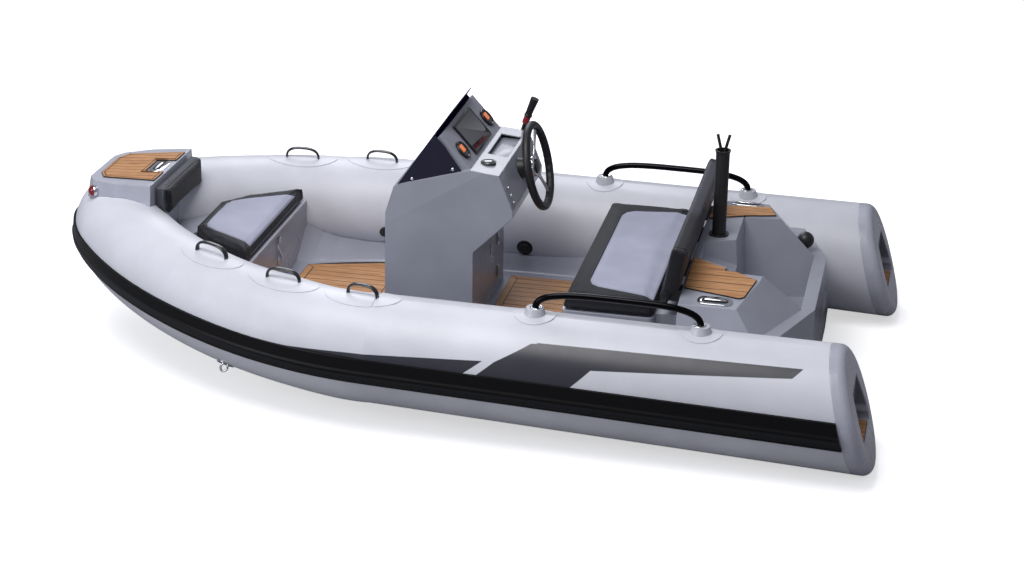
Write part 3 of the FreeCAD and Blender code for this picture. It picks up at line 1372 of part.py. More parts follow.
def cable_stubs():
    """Two stiff cable ends that rise from the tube and part above its mouth."""
    stubs = []
    low = RIG_FOOT_Z + 3 * RIG_WALL
    mouth = RIG_FOOT_Z + RIG_HEIGHT
    for side in (-1, 1):
        x = RIG_X + side * (CABLE_RADIUS + 2)
        route = [(x, RIG_Y, low), (x, RIG_Y, mouth), (x + side * CABLE_RISE / 4, RIG_Y, mouth + CABLE_RISE)]
        stubs.append(swept_tube(route, CABLE_RADIUS, 3 * CABLE_RADIUS))
    return Part.makeCompound(stubs)


def tow_ball():
    """Ball on a stem, at the outer end of the transom's starboard shoulder."""
    x, y, z = BALL_AT
    foot = V(x, y, TRANSOM_TOP_Z - BALL_RADIUS)
    stem = Part.makeCylinder(BALL_RADIUS / 3, z - foot.z, foot)
    return Part.makeSphere(BALL_RADIUS, V(x, y, z)).fuse(stem)


# Floor teak

def floor_teak():
    top = FLOOR_Z + TEAK_THICK
    inset = FLOOR_MARGIN + 3 * TEAK_MARGIN
    end = LOCKER_AFT_X - LOCKER_WALL - PAD_BORDER
    fore = plan_block(inset, CONSOLE_FRONT_X + PAD_BORDER, end, FLOOR_Z, top)
    aft = box(SEAT_BASE_FRONT_X + PAD_BORDER, CONSOLE_AFT_X - PAD_BORDER / 2, -HELM_PAD_HALF, HELM_PAD_HALF,
              FLOOR_Z, top)
    return Part.makeCompound([fore, aft])


NODES = {}


def seated(shape, carriers):
    """The largest piece of the shape once whatever carries it is cut away, so that they meet face to face."""
    rest = shape.cut(carriers)
    return max(rest.Solids, key=lambda solid: solid.Volume)


def all_seated(shape, carriers):
    """The same for a set of pieces."""
    return Part.makeCompound([seated(solid, carriers) for solid in shape.Solids])


def build():
    port = side_tube()
    bow = bow_tube()
    tubes = [port, mirror_y(port), bow]
    side_skin = side_cone(STERN_X, PATCH_THICK)
    bow_skin = bow_tube(PATCH_THICK)
    grown = [side_cone(STERN_X - CAP_REACH, SEAM_GAP), bow_tube(BOW_GAP)]
    liner = cockpit_liner(tubes[:2], grown)
    step = bow_step(tubes)
    console = console_shell()
    NODES["hull"] = hull(grown)
    NODES["tube_port"] = port
    NODES["tube_starboard"] = tubes[1]
    NODES["tube_bow"] = bow
    NODES["rubbing_strake"] = rubbing_strake(grown)
    NODES["tube_end_caps"] = both_sides(end_cap())
    NODES["cap_step_pads"] = both_sides(cap_pad())
    NODES["cockpit_liner"] = liner
    NODES["bow_step"] = step
    cleat_x = STEP_AFT_X + BOW_CLEAT_IN
    NODES["bow_cleat"] = seated(cleat(cleat_x, 0, step_plane_z(cleat_x) - 1, 90), [step])
    NODES["bow_step_teak"] = bow_step_teak()
    NODES["bow_bolster"] = seated(bolster(), [bow])
    lamp, lens = nav_light()
    NODES["navigation_lights"] = both_sides(lamp)
    NODES["lamp_lenses"] = both_sides(lens)
    NODES["bow_locker_lid"] = bow_locker_lid()
    NODES["bow_locker_cushion"] = bow_locker_cushion()
    NODES["locker_latch"] = locker_latch()
    NODES["helm_seat_base"] = seated(helm_seat_base(), [liner])
    NODES["helm_seat_cushion"] = helm_seat_cushion()
    NODES["backrest_pad"] = backrest_pad()
    NODES["backrest_brackets"] = backrest_brackets()
    NODES["console_shell"] = console
    NODES["console_door"] = console_door()
    NODES["hinges"] = hinges()
    NODES["door_latch"] = door_latch()
    NODES["windscreen"] = seated(windscreen(), [console])
    NODES["dash_display"] = dash_display()
    NODES["dash_gauges"] = dash_gauges()
    NODES["compass"] = seated(compass(), [console])
    NODES["switches"] = all_seated(switches(), [console])
    NODES["throttle_lever"] = throttle_lever()
    NODES["steering_wheel_rim"] = wheel_rim()
    NODES["steering_wheel_hub"] = wheel_hub()
    NODES["steering_boss"] = seated(steering_boss(), [console])
    rail = grab_rail()
    NODES["grab_rails"] = both_sides(rail)
    patched = [side_skin, bow_skin]
    cups = [cup.cut(patched + [rail]) for cup in rail_cups()]
    NODES["rail_cups"] = Part.makeCompound(cups + [mirror_y(cup) for cup in cups])
    handles = [grab_handle(aft, fore).cut(patched) for aft, fore in HANDLE_SPANS]
    NODES["grab_handles"] = Part.makeCompound(handles + [mirror_y(handle) for handle in handles])
    patches = tube_patches(side_skin, bow_skin, port, bow)
    NODES["tube_patches"] = Part.makeCompound(patches + [mirror_y(patch) for patch in patches])
    valves = [seated(inflation_valve(x), tubes) for x in VALVE_XS]
    NODES["inflation_valves"] = Part.makeCompound(valves + [mirror_y(valve) for valve in valves])
    NODES["towing_eyes"] = both_sides(seated(towing_eye(), tubes))
    cleats = cleat(CLEAT_AT[0], CLEAT_AT[1], 0, 0)
    cleats.rotate(V(CLEAT_AT[0], CLEAT_AT[1], 0), V(1, 0, 0), -DECK_TILT)
    cleats.translate(V(0, 0, AFT_DECK_Z - (CLEAT_AT[1] - DECK_SLOPE_Y) * math.tan(math.radians(DECK_TILT))))
    NODES["aft_cleats"] = both_sides(seated(cleats, [liner]))
    starboard_teak = mirror_y(aft_teak(liner, RIG_PLATEAU_Y))
    NODES["aft_deck_teak"] = Part.makeCompound([aft_teak(liner, RECESS_PORT[0]), starboard_teak])
    NODES["rigging_tube"] = rigging_tube()
    NODES["cable_stubs"] = cable_stubs()
    NODES["tow_ball"] = seated(tow_ball(), [liner])
    NODES["floor_teak"] = floor_teak()


build()
os.makedirs("parts", exist_ok=True)
for name, shape in NODES.items():
    shape.exportStep("parts/" + name + ".step")
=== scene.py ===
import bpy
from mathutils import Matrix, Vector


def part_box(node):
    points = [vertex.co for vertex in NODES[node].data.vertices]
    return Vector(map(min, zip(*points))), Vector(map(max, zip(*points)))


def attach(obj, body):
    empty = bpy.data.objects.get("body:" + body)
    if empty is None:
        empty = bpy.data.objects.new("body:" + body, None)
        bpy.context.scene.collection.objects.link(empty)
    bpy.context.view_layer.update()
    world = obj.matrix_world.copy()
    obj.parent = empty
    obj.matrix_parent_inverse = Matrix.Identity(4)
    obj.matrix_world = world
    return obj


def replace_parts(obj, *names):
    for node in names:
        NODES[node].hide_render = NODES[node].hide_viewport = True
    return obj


bl_info = {
    "name": "Inflatable boat dressing",
    "version": (1, 0, 0),
    "blender": (4, 5, 0),
    "location": "3D View > Sidebar > Boat",
    "description": "Upholstery, teak, dash, wheel and finishes for a rigid inflatable boat",
    "category": "Object",
}

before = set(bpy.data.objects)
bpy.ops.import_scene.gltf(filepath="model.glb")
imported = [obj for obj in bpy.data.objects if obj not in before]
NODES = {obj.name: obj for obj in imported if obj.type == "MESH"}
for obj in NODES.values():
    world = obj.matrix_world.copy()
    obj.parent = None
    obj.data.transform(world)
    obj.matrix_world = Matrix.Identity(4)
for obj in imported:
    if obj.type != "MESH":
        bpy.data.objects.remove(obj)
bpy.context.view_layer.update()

import math

import bmesh
import bpy
from bpy.props import FloatProperty, FloatVectorProperty, PointerProperty
from mathutils import Matrix, Vector
from mathutils.bvhtree import BVHTree

# Camera of the photograph, in the boat's frame
CAMERA_AT = Vector((-1.84676, 7.74939, 3.59957))
CAMERA_TURN = math.radians(12.1228)
CAMERA_FALL = math.radians(22.9382)
CAMERA_ROLL = math.radians(0.734)
CAMERA_LENS = 75.463

# Line of the tubes, which the graphics and the strake's stripe follow
TUBE_STERN_X = -1.575
TUBE_BEND_X = 0.171
TUBE_STEM_X = 1.454
TUBE_AXIS_Z = 0.240
TUBE_Y = 0.735
STERN_RADIUS = 0.230
BOW_RADIUS = 0.187
SHOULDER = 0.718            # reach of the curve's handles, from the bend and at the stem
FOREFOOT = 0.227
SHEER_SLOPE = 0.028
BOW_RISE = 0.096

# Dark wedges on the tubes' sides: x and height over the tube's axis, anticlockwise, fore to aft
WEDGES = ([(0.470, 0.039), (-0.274, 0.093), (-0.190, 0.030), (0.020, 0.012)],
          [(-0.240, 0.030), (-0.318, 0.095), (-0.442, 0.162), (-0.489, 0.166), (-0.690, 0.128),
           (-0.575, 0.020)],
          [(-0.460, 0.166), (-1.415, 0.190), (-1.380, 0.163), (-0.640, 0.106)])

# End caps: aft face, and the boarding step's recess in it
CAP_FACE_X = -1.624
CAP_SLANT = 0.33
RECESS_HALF = 0.135
RECESS_Z = (0.151, 0.4135)
RECESS_FORE_X = -1.587

# Places of the fittings
AFT_CLEAT_AT = (-1.055, 0.520)
AFT_DECK_TOP = 0.545
AFT_DECK_FOLD_Y = 0.300
AFT_DECK_FALL = 0.037 / 0.260
RAIL_CUP_X = (-1.033, -0.424)
RAIL_CUP_Y = 0.726
RAIL_CUP_HEIGHT = 0.0265
VALVE_X = (-0.121, 0.528)
VALVE_TURN = 194.0          # degrees round the tube, from outboard
SCREEN_BOLTS = ((0.158, 0.794), (-0.002, 0.846))
SWITCH_FOOT = (-0.185, 0.240, 0.839)
SWITCH_FIRST = 0.060
SWITCH_PITCH = 0.031
CONSOLE_SLOPE = math.radians(68.55)
THROTTLE_FOOT = Vector((-0.1655, -0.2855, 0.868))
THROTTLE_LEAN = Vector((-0.35, 0.04, 0.93))
THROTTLE_PIVOT = (-0.140, -0.275, 0.760)

PLANK_PROUD = 0.0008        # height of the boards over the caulk

# Panels of light vinyl on the cushions, x and y, anticlockwise
HELM_PANEL = [(-0.840, -0.452), (-0.600, -0.412), (-0.573, -0.392), (-0.560, -0.355), (-0.560, 0.355),
              (-0.573, 0.392), (-0.600, 0.412), (-0.840, 0.470)]
BOW_PANEL = [(0.812, -0.292), (0.985, -0.192), (1.040, -0.150), (1.058, -0.110), (1.058, 0.110),
             (1.040, 0.150), (0.985, 0.192), (0.812, 0.292)]
BACKREST_SEAM_Y = 0.110

# Straps of the grab handles, and rails: how far their ends stand in, sections, and how square they arch
HANDLE_FOOT = 0.010
HANDLE_THICK = 0.010
HANDLE_WIDE = 0.024
HANDLE_STEPS = 40
HANDLE_FULLNESS = 2.6
RAIL_WIDE = 0.025
RAIL_FULLNESS = 3.4

# Studio
SKY_TINT = (0.86, 0.88, 1.0, 1.0)
SKY_STRENGTH = 0.30
FLOOR_GLOW = 0.55
FLOOR_REACH = 60.0
LAMPS = (("key", (0.8, 2.2, 5.5), 3.4, 235.0, (1.0, 0.99, 0.98)),     # name, place, size, power and tint
         ("front", (4.2, 4.5, 2.6), 2.5, 95.0, (0.92, 0.94, 1.0)),
         ("rim", (1.5, -4.5, 4.0), 3.0, 115.0, (0.92, 0.94, 1.0)))
LAMPS_AIM = Vector((0.0, 0.0, 0.3))

# Tray in the console's top
TRAY_AT = (-0.132, -0.065)
TRAY_HALF = (0.050, 0.135)
TRAY_FLOOR = 0.830

# Planes that the dash, the switches and the wheel stand on
DASH = (Matrix.Translation((-0.0135, 0, 0.9155)) @ Matrix.Rotation(-math.radians(47.79), 4, "Y")
        @ Matrix.Rotation(-math.pi / 2, 4, "Z"))
WHEEL = Matrix.Translation((-0.281, 0, 0.795)) @ Matrix.Rotation(-math.radians(76.7), 4, "Y")
GAUGE_ACROSS = 0.202
GAUGE_UP = -0.016
SCREEN_HALF = (0.124, 0.0675)
RIM_RADIUS = 0.1605
RIM_THICK = 0.032
GRIP_DEPTH = 0.0016
GRIPS = 30
SPOKE_FOOT = 0.034
SPOKE_END = 0.1475


# Sizes and colours that a user may change

def size(label, text, metres):
    return FloatProperty(name=label, description=text, default=metres, min=0.0, unit="LENGTH", precision=4)


def colour(label, text, rgb):
    return FloatVectorProperty(name=label, description=text, default=rgb, size=3, min=0.0, max=1.0,
                               subtype="COLOR")


class BoatColours(bpy.types.PropertyGroup):
    tube: colour("Tube", "Coated fabric of the buoyancy tubes", (0.62, 0.63, 0.69))
    graphic: colour("Graphic", "Wedges on the tubes' sides", (0.030, 0.031, 0.042))
    strake: colour("Strake", "Rubbing strake", (0.0025, 0.0025, 0.003))
    ridge: colour("Ridge", "Raised ridge of the strake", (0.014, 0.015, 0.018))
    liner: colour("Liner", "Moulded cockpit liner and aft deck", (0.31, 0.32, 0.38))
    console: colour("Console", "Console moulding", (0.27, 0.28, 0.33))
    hull: colour("Hull", "Gelcoat of the hull", (0.36, 0.37, 0.42))
    step: colour("Bow step", "Bow step, lid and end caps", (0.42, 0.43, 0.50))
    # Darker colour inside the boarding steps: painted shade of the recess
    recess: colour("Recess", "Inside of the boarding steps", (0.16, 0.165, 0.20))
    teak: colour("Teak", "Deck planks", (0.56, 0.30, 0.135))
    caulk: colour("Caulk", "Seams between planks", (0.012, 0.011, 0.010))
    border: colour("Cushion border", "Charcoal vinyl", (0.012, 0.0125, 0.016))
    panel: colour("Cushion panel", "Light grey vinyl", (0.36, 0.37, 0.47))
    backrest: colour("Backrest", "Dark vinyl of backrest and bolster", (0.010, 0.010, 0.013))
    acrylic: colour("Windscreen", "Smoked acrylic", (0.012, 0.009, 0.050))
    lamp: colour("Port lamp", "Red lens", (0.30, 0.004, 0.010))


class BoatSizes(bpy.types.PropertyGroup):
    plank: size("Plank", "Width of a deck plank", 0.046)
    seam: size("Seam", "Width of the caulked seams", 0.004)
    margin: size("Margin board", "Width of the boards round a pad", 0.030)
    stitch: size("Stitch", "Length of a stitch", 0.007)
    swell: size("Swell", "How far upholstery may swell", 0.007)
    weave: size("Weave", "Pitch of the tube fabric's weave", 0.0016)


def boat():
    return bpy.context.scene.boat_sizes, bpy.context.scene.boat_colours


# Shader expressions

class Wire:
    """A socket in a node tree; arithmetic on it adds Math nodes."""

    def __init__(self, finish, socket):
        self.finish = finish
        self.socket = socket

    def math(self, operation, *others):
        return self.finish.node("ShaderNodeMath", {"operation": operation}, *((self,) + others))[0]

    def __add__(self, other): return self.math("ADD", other)
    def __radd__(self, other): return self.math("ADD", other)
    def __sub__(self, other): return self.math("SUBTRACT", other)
    def __rsub__(self, other): return self.finish.value(other, "SUBTRACT", self)
    def __mul__(self, other): return self.math("MULTIPLY", other)
    def __rmul__(self, other): return self.math("MULTIPLY", other)
    def __truediv__(self, other): return self.math("DIVIDE", other)
    def __rtruediv__(self, other): return self.finish.value(other, "DIVIDE", self)
    def __mod__(self, other): return self.math("FLOORED_MODULO", other)
    def __abs__(self): return self.math("ABSOLUTE")

    def least(self, other): return self.math("MINIMUM", other)
    def most(self, other): return self.math("MAXIMUM", other)
    def floor(self): return self.math("FLOOR")
    def root(self): return self.math("SQRT")

    def rise(self, low, high):
        """0 below low, 1 above high, smooth between; low may be the larger."""
        made = self.finish.node("ShaderNodeMapRange", {"interpolation_type": "SMOOTHSTEP"},
                                self, low, high, 0.0, 1.0)
        return made[0]


class Finish:
    """A material with one Principled shader, and the nodes behind it."""

    def __init__(self, name, **fixed):
        self.material = bpy.data.materials.new(name)
        self.material.use_nodes = True
        self.tree = self.material.node_tree
        self.tree.nodes.clear()
        output = self.tree.nodes.new("ShaderNodeOutputMaterial")
        self.shader = self.tree.nodes.new("ShaderNodeBsdfPrincipled")
        self.tree.links.new(self.shader.outputs[0], output.inputs["Surface"])
        for socket, number in fixed.items():
            self.shader.inputs[socket.replace("_", " ")].default_value = number
        self.place = None

    def node(self, kind, settings=None, *values, **named):
        """Adds a node: its settings first, then what goes into its sockets. Gives its outputs as wires."""
        made = self.tree.nodes.new(kind)
        for key, what in (settings or {}).items():
            setattr(made, key, what)
        for key, what in list(enumerate(values)) + [(k.replace("_", " "), v) for k, v in named.items()]:
            if isinstance(what, Wire):
                self.tree.links.new(what.socket, made.inputs[key])
            elif what is not None:
                made.inputs[key].default_value = what
        return [Wire(self, out) for out in made.outputs]

    def value(self, number, operation, wire):
        return self.node("ShaderNodeMath", {"operation": operation}, number, wire)[0]

    def point(self):
        """Coordinates in the boat's frame, as a vector."""
        if self.place is None:
            self.place = self.node("ShaderNodeTexCoord")[3]
        return self.place

    def xyz(self):
        return self.node("ShaderNodeSeparateXYZ", None, self.point())

    def scaled(self, x, y, z):
        return self.node("ShaderNodeVectorMath", {"operation": "MULTIPLY"}, self.point(), (x, y, z))[0]

    def noise(self, scale, detail=4.0, roughness=0.55, vector=None):
        return self.node("ShaderNodeTexNoise", None, vector or self.point(), Scale=scale, Detail=detail,
                         Roughness=roughness)[0]

    def mix(self, share, first, second):
        """Colour mix; first and second are colours or wires."""
        made = self.tree.nodes.new("ShaderNodeMix")
        made.data_type = "RGBA"
        sockets = {"Factor_Float": share, "A_Color": first, "B_Color": second}
        for socket in made.inputs:
            if socket.identifier in sockets:
                self.feed(socket, sockets[socket.identifier])
        result = [out for out in made.outputs if out.identifier == "Result_Color"][0]
        return Wire(self, result)

    def feed(self, socket, what):
        """Gives a socket a wire, a number or a colour."""
        if isinstance(what, Wire):
            self.tree.links.new(what.socket, socket)
        elif isinstance(what, (int, float)):
            socket.default_value = what
        else:
            socket.default_value = tuple(what) + (1.0,)

    def shade(self, colour, share):
        """A colour made darker or lighter by a wire that runs from 0 to 1."""
        return self.mix(share, scaled_by(colour, 0.7), tuple(min(1.0, c * 1.3) for c in colour))

    def set(self, **sockets):
        for key, what in sockets.items():
            self.feed(self.shader.inputs[key.replace("_", " ")], what)

    def relief(self, height, distance, strength=1.0, soften=0.0):
        """Bump from a height wire, over edges that are softened to a radius."""
        under = None
        if soften:
            under = self.node("ShaderNodeBevel", {"samples": 6}, soften)[0]
        bump = self.node("ShaderNodeBump", None, Strength=strength, Distance=distance, Height=height,
                         Normal=under)
        self.set(Normal=bump[0])


def scaled_by(base, amount):
    return tuple(c * amount for c in base)


# Finishes

def axis_height(finish):
    """Height above the tube's own axis, from the sheer line."""
    x, _, z = finish.xyz()
    along = ((x - TUBE_BEND_X) / (TUBE_STEM_X - TUBE_BEND_X)).most(0.0)
    return z - (along * along * BOW_RISE + (x - TUBE_STERN_X) * SHEER_SLOPE + TUBE_AXIS_Z)


def edge_gaps(outline, u, v):
    """Distances from u and v, numbers or wires, to each side of an anticlockwise outline: positive inside."""
    gaps = []
    for (u0, v0), (u1, v1) in zip(outline, outline[1:] + outline[:1]):
        length = math.hypot(u1 - u0, v1 - v0)
        gaps.append((u - u0) * (-(v1 - v0) / length) + (v - v0) * ((u1 - u0) / length))
    return gaps


def inside(corners, u, v, soft=0.0012):
    """Mask of a convex outline given anticlockwise in u and v."""
    mask, *others = [gap.rise(-soft, soft) for gap in edge_gaps(corners, u, v)]
    for side in others:
        mask = mask * side
    return mask


def tube_fabric(colours, sizes):
    """Coated fabric: fine weave, faint creases and the dark wedges on the sides."""
    f = Finish("tube_fabric", Roughness=0.42, Coat_Roughness=0.35)
    x, y, _ = f.xyz()
    rise = axis_height(f)
    outer_y = abs(y).rise(0.74, 0.76)
    wedge, block, tail = (inside(corners, x, rise) for corners in WEDGES)
    mark = (wedge.most(block).most(tail) * outer_y).least(1.0)
    mottle = f.noise(2.2, 5.0)
    base = f.shade(tuple(colours.tube), mottle)
    dark = f.shade(tuple(colours.graphic), mottle)
    weave, cross = (f.node("ShaderNodeTexWave", {"wave_type": "BANDS", "bands_direction": way}, f.point(),
                           Scale=math.pi / sizes.weave / 10)[1] for way in "XZ")
    height = weave * cross * 0.12 + f.noise(26.0, 3.0) * 0.5 + mark * 0.5
    grime = (f.noise(7.0, 6.0) - 0.45).most(0.0) * 0.25
    f.set(Base_Color=f.mix(grime * (1 - mark), f.mix(mark, base, dark), scaled_by(colours.tube, 0.72)),
          Roughness=0.36 + f.noise(18.0) * 0.12 - mark * 0.06)
    f.relief(height, 0.0007, 0.5)
    return f.material


def strake_rubber(colours):
    """Extruded rubber: black lips and a worn, lighter ridge, with fine lines along it."""
    f = Finish("strake_rubber", Specular_IOR_Level=0.18)
    rise = axis_height(f)
    ridge = rise.rise(-0.052, -0.047) * rise.rise(-0.018, -0.022)
    scuff = f.noise(60.0, 6.0, 0.7, f.scaled(0.2, 0.2, 1.0))
    worn = f.mix(scuff * 0.7 * ridge, tuple(colours.strake), tuple(colours.ridge))
    f.set(Base_Color=f.mix(ridge * 0.8, worn, tuple(colours.ridge)), Roughness=0.30 + scuff * 0.22)
    lines = (rise * 2.0e3).math("SINE")
    f.relief(lines * 0.25 + scuff * 0.6, 0.0005, 0.4)
    return f.material


def gelcoat(name, base, gloss=0.24, soften=0.005, orange_peel=0.35, speckle=0.06):
    """Polished mouldings: slight orange peel, softened corners, faint dulling in patches."""
    f = Finish(name, Coat_Weight=0.35, Coat_Roughness=0.08)
    cloud = f.noise(3.0, 6.0)
    fine = f.noise(90.0, 2.0)
    tint = f.shade(base, cloud * (1 - speckle) + fine * speckle)
    f.set(Base_Color=tint, Roughness=gloss + f.noise(14.0, 4.0) * 0.10)
    f.relief(f.noise(240.0, 2.0) * orange_peel + fine * 0.3, 0.0003, 0.35, soften)
    return f.material


def cap_gelcoat(base, shadow):
    """End caps: pale outside; inside the boarding step's recess the darker colour is painted shade."""
    f = Finish("cap_gelcoat", Coat_Weight=0.3, Coat_Roughness=0.1)
    x, y, z = f.xyz()
    behind = x - (z - TUBE_AXIS_Z) * CAP_SLANT - CAP_FACE_X
    across = abs(abs(y) - TUBE_Y)
    # Mask of the step's recess, where the painted shade goes
    shaded_recess_mask = (behind.rise(0.002, 0.006) * across.rise(RECESS_HALF + 0.001, RECESS_HALF - 0.001)
              * z.rise(RECESS_Z[0] - 0.002, RECESS_Z[0] + 0.002)
              * z.rise(RECESS_Z[1] + 0.0015, RECESS_Z[1] - 0.0015)
              * x.rise(RECESS_FORE_X + 0.001, RECESS_FORE_X - 0.001))
    cloud = f.noise(4.0, 6.0)
    f.set(Base_Color=f.mix(shaded_recess_mask, f.shade(base, cloud), f.shade(shadow, cloud)),
          Roughness=0.24 + shaded_recess_mask * 0.2 + f.noise(16.0) * 0.08)
    f.relief(f.noise(200.0, 2.0), 0.0003, 0.3, 0.006)
    return f.material


def hull_gelcoat(base):
    """Hull gelcoat with a dulled zone up to the waterline."""
    f = Finish("hull_gelcoat", Coat_Weight=0.3, Coat_Roughness=0.1)
    _, _, z = f.xyz()
    wet = z.rise(0.03, -0.02)
    cloud = f.noise(4.0, 6.0)
    f.set(Base_Color=f.mix(wet * cloud * 0.35, f.shade(base, cloud), scaled_by(base, 0.6)),
          Roughness=0.24 + wet * 0.12 + f.noise(16.0) * 0.08)
    f.relief(f.noise(200.0, 2.0), 0.0003, 0.3, 0.006)
    return f.material


def teak(colours, sizes, spread=0.35):
    """Teak boards: long grain, ray flecks, each board its own tone, grey dust in the pores."""
    f = Finish("teak_boards", Specular_IOR_Level=0.35)
    x, y, _ = f.xyz()
    board = ((y / sizes.plank).floor() * 7.31 + (x * 0.9).floor() * 2.17)
    tone = f.node("ShaderNodeTexWhiteNoise", {"noise_dimensions": "1D"}, W=board)[0]
    grain = f.noise(6.0, 9.0, 0.62, f.scaled(1.6, 28.0, 28.0))
    fleck = f.noise(30.0, 4.0, 0.6, f.scaled(1.0, 14.0, 14.0))
    base = tuple(colours.teak)
    dark = (base[0] * 0.62, base[1] * 0.52, base[2] * 0.42)
    pale = (base[0] * 1.22, base[1] * 1.28, base[2] * 1.35)
    wood = f.mix(grain.rise(0.35, 0.70), dark, base)
    wood = f.mix((tone - 0.5) * spread + fleck.rise(0.55, 0.8) * 0.35, wood, pale)
    f.set(Base_Color=wood, Roughness=0.52 + grain * 0.16)
    f.relief(grain * 0.8 + fleck * 0.3, 0.0006, 0.5, 0.0008)
    return f.material


def caulk(colours):
    """Black seam compound under and between the boards."""
    f = Finish("caulk", Roughness=0.6)
    dust = f.noise(120.0, 4.0)
    f.set(Base_Color=f.shade(tuple(colours.caulk), dust), Roughness=0.5 + dust * 0.2)
    f.relief(dust, 0.0003, 0.4)
    return f.material


DARK_VINYL = {"Sheen_Weight": 0.05, "Sheen_Roughness": 0.45, "Specular_IOR_Level": 0.25}


def leathercloth(f, grain=0.5, fold=0.4):
    """Height of embossed vinyl: pebbled grain and slow puckers."""
    pebble = f.node("ShaderNodeTexVoronoi", {"feature": "DISTANCE_TO_EDGE"}, f.point(), Scale=420.0)[0]
    return pebble.rise(0.0, 0.35) * grain + f.noise(9.0, 3.0) * fold + f.noise(700.0, 2.0) * 0.2


def two_tone_vinyl(name, colours, sizes, panel, seam_distance):
    """Charcoal vinyl with a light panel; the seam is sunk, stitched on both sides, slightly puckered and
    darkened as painted shade.
    """
    f = Finish(name, Sheen_Weight=0.04, Sheen_Roughness=0.5, Specular_IOR_Level=0.14)
    mask = panel(f)
    gap = seam_distance(f)
    x, y, _ = f.xyz()
    along = (x + y) / sizes.stitch
    dash = (along % 1.0).rise(0.18, 0.30) * (along % 1.0).rise(0.90, 0.78)
    rows = abs(abs(gap) - 0.0055).rise(0.0011, 0.0005) * dash
    groove = abs(gap).rise(0.0028, 0.0002)
    mottle = f.noise(5.0, 5.0)
    skin = f.mix(mask, f.shade(tuple(colours.border), mottle), f.shade(tuple(colours.panel), mottle))
    skin = f.mix(rows, skin, scaled_by(colours.panel, 0.55))
    # The sunk seam is darkened towards charcoal: painted shade
    f.set(Base_Color=f.mix(groove * 0.8, skin, scaled_by(colours.border, 0.4)),
          Roughness=0.44 + mottle * 0.12 + mask * 0.05)
    f.relief(leathercloth(f) + rows * 1.6 - groove * 4.0, 0.0009, 0.55)
    return f.material


def backrest_vinyl(colours, half):
    """Dark vinyl: black at the ends as painted shade and violet-grey between as painted sheen, a stitched
    seam across it.
    """
    f = Finish("backrest_vinyl", **DARK_VINYL)
    _, y, z = f.xyz()
    mottle = f.noise(6.0, 5.0)
    seam = abs(y - BACKREST_SEAM_Y)
    stitches = abs(seam - 0.006).rise(0.0012, 0.0005) * (z * 140.0 % 1.0).rise(0.2, 0.3)
    # Paler band between the ends: painted sheen on the top face; the black left at the ends is painted shade
    middle = y.rise(0.17, 0.05) * abs(y).rise(half - 0.035, half - 0.045)
    pale = tuple(0.6 * a + 0.4 * b for a, b in zip(colours.backrest, (0.10, 0.10, 0.13)))
    skin = f.mix(middle, f.shade(tuple(colours.backrest), mottle), f.shade(pale, mottle))
    f.set(Base_Color=f.mix(stitches, skin, (0.14, 0.14, 0.16)), Roughness=0.40 + mottle * 0.14)
    f.relief(leathercloth(f, 0.5, 0.6) + stitches * 1.5 - seam.rise(0.0025, 0.0) * 3.0, 0.0009, 0.5)
    return f.material


def bolster_vinyl(colours, face_x):
    """Black facing with a greyer band round its edge."""
    f = Finish("bolster_vinyl", **DARK_VINYL)
    x, y, z = f.xyz()
    mottle = f.noise(7.0, 5.0)
    band = x.rise(face_x + 0.017, face_x + 0.019)
    stitches = abs(x - face_x - 0.024).rise(0.0012, 0.0005) * ((y + z) * 140.0 % 1.0).rise(0.2, 0.3)
    skin = f.mix(band, f.shade(tuple(colours.backrest), mottle), f.shade((0.050, 0.052, 0.064), mottle))
    f.set(Base_Color=f.mix(stitches, skin, (0.16, 0.16, 0.18)), Roughness=0.42 + mottle * 0.14)
    f.relief(leathercloth(f, 0.5, 0.6) + stitches * 1.5, 0.0009, 0.5)
    return f.material


def metal(name, base, roughness, streak=0.08, soften=0.0012):
    """Polished or brushed metal with fine wipe marks."""
    f = Finish(name, Metallic=1.0)
    wipe = f.noise(40.0, 6.0, 0.6, f.scaled(1.0, 6.0, 3.0))
    f.set(Base_Color=f.shade(base, wipe), Roughness=roughness + wipe * streak)
    f.relief(wipe, 0.0001, 0.15, soften)
    return f.material


def plastic(name, base, roughness, grain=300.0, depth=0.0003, soften=0.0015, coat=0.0):
    """Moulded plastic or rubber with an even texture."""
    f = Finish(name, Coat_Weight=coat, Coat_Roughness=0.1)
    fine = f.noise(grain, 3.0)
    cloud = f.noise(12.0, 4.0)
    f.set(Base_Color=f.shade(base, cloud * 0.7 + fine * 0.3), Roughness=roughness + cloud * 0.1)
    f.relief(fine, depth, 0.5, soften)
    return f.material


def smoked_acrylic(base):
    """Tinted sheet: clear through the thin way, dark at its edges, with faint wipe haze."""
    f = Finish("smoked_acrylic", Transmission_Weight=0.55, IOR=1.49, Specular_IOR_Level=0.6)
    haze = f.noise(9.0, 6.0)
    f.set(Base_Color=f.shade(base, haze), Roughness=0.03 + haze * 0.05)
    f.relief(f.noise(30.0, 2.0), 0.0001, 0.1, 0.001)
    return f.material


def lamp_lens(colours):
    """Ribbed lens: red to port, green to starboard."""
    f = Finish("lamp_lens", Transmission_Weight=0.35, IOR=1.5, Coat_Weight=0.6, Coat_Roughness=0.03)
    _, y, z = f.xyz()
    port = y.rise(-0.001, 0.001)
    ribs = (z * 900.0).math("SINE")
    glass = f.mix(port, (0.004, 0.16, 0.045), tuple(colours.lamp))
    f.set(Base_Color=glass, Roughness=0.12 + f.noise(40.0) * 0.05)
    f.relief(ribs, 0.0006, 0.4)
    return f.material


# Meshes

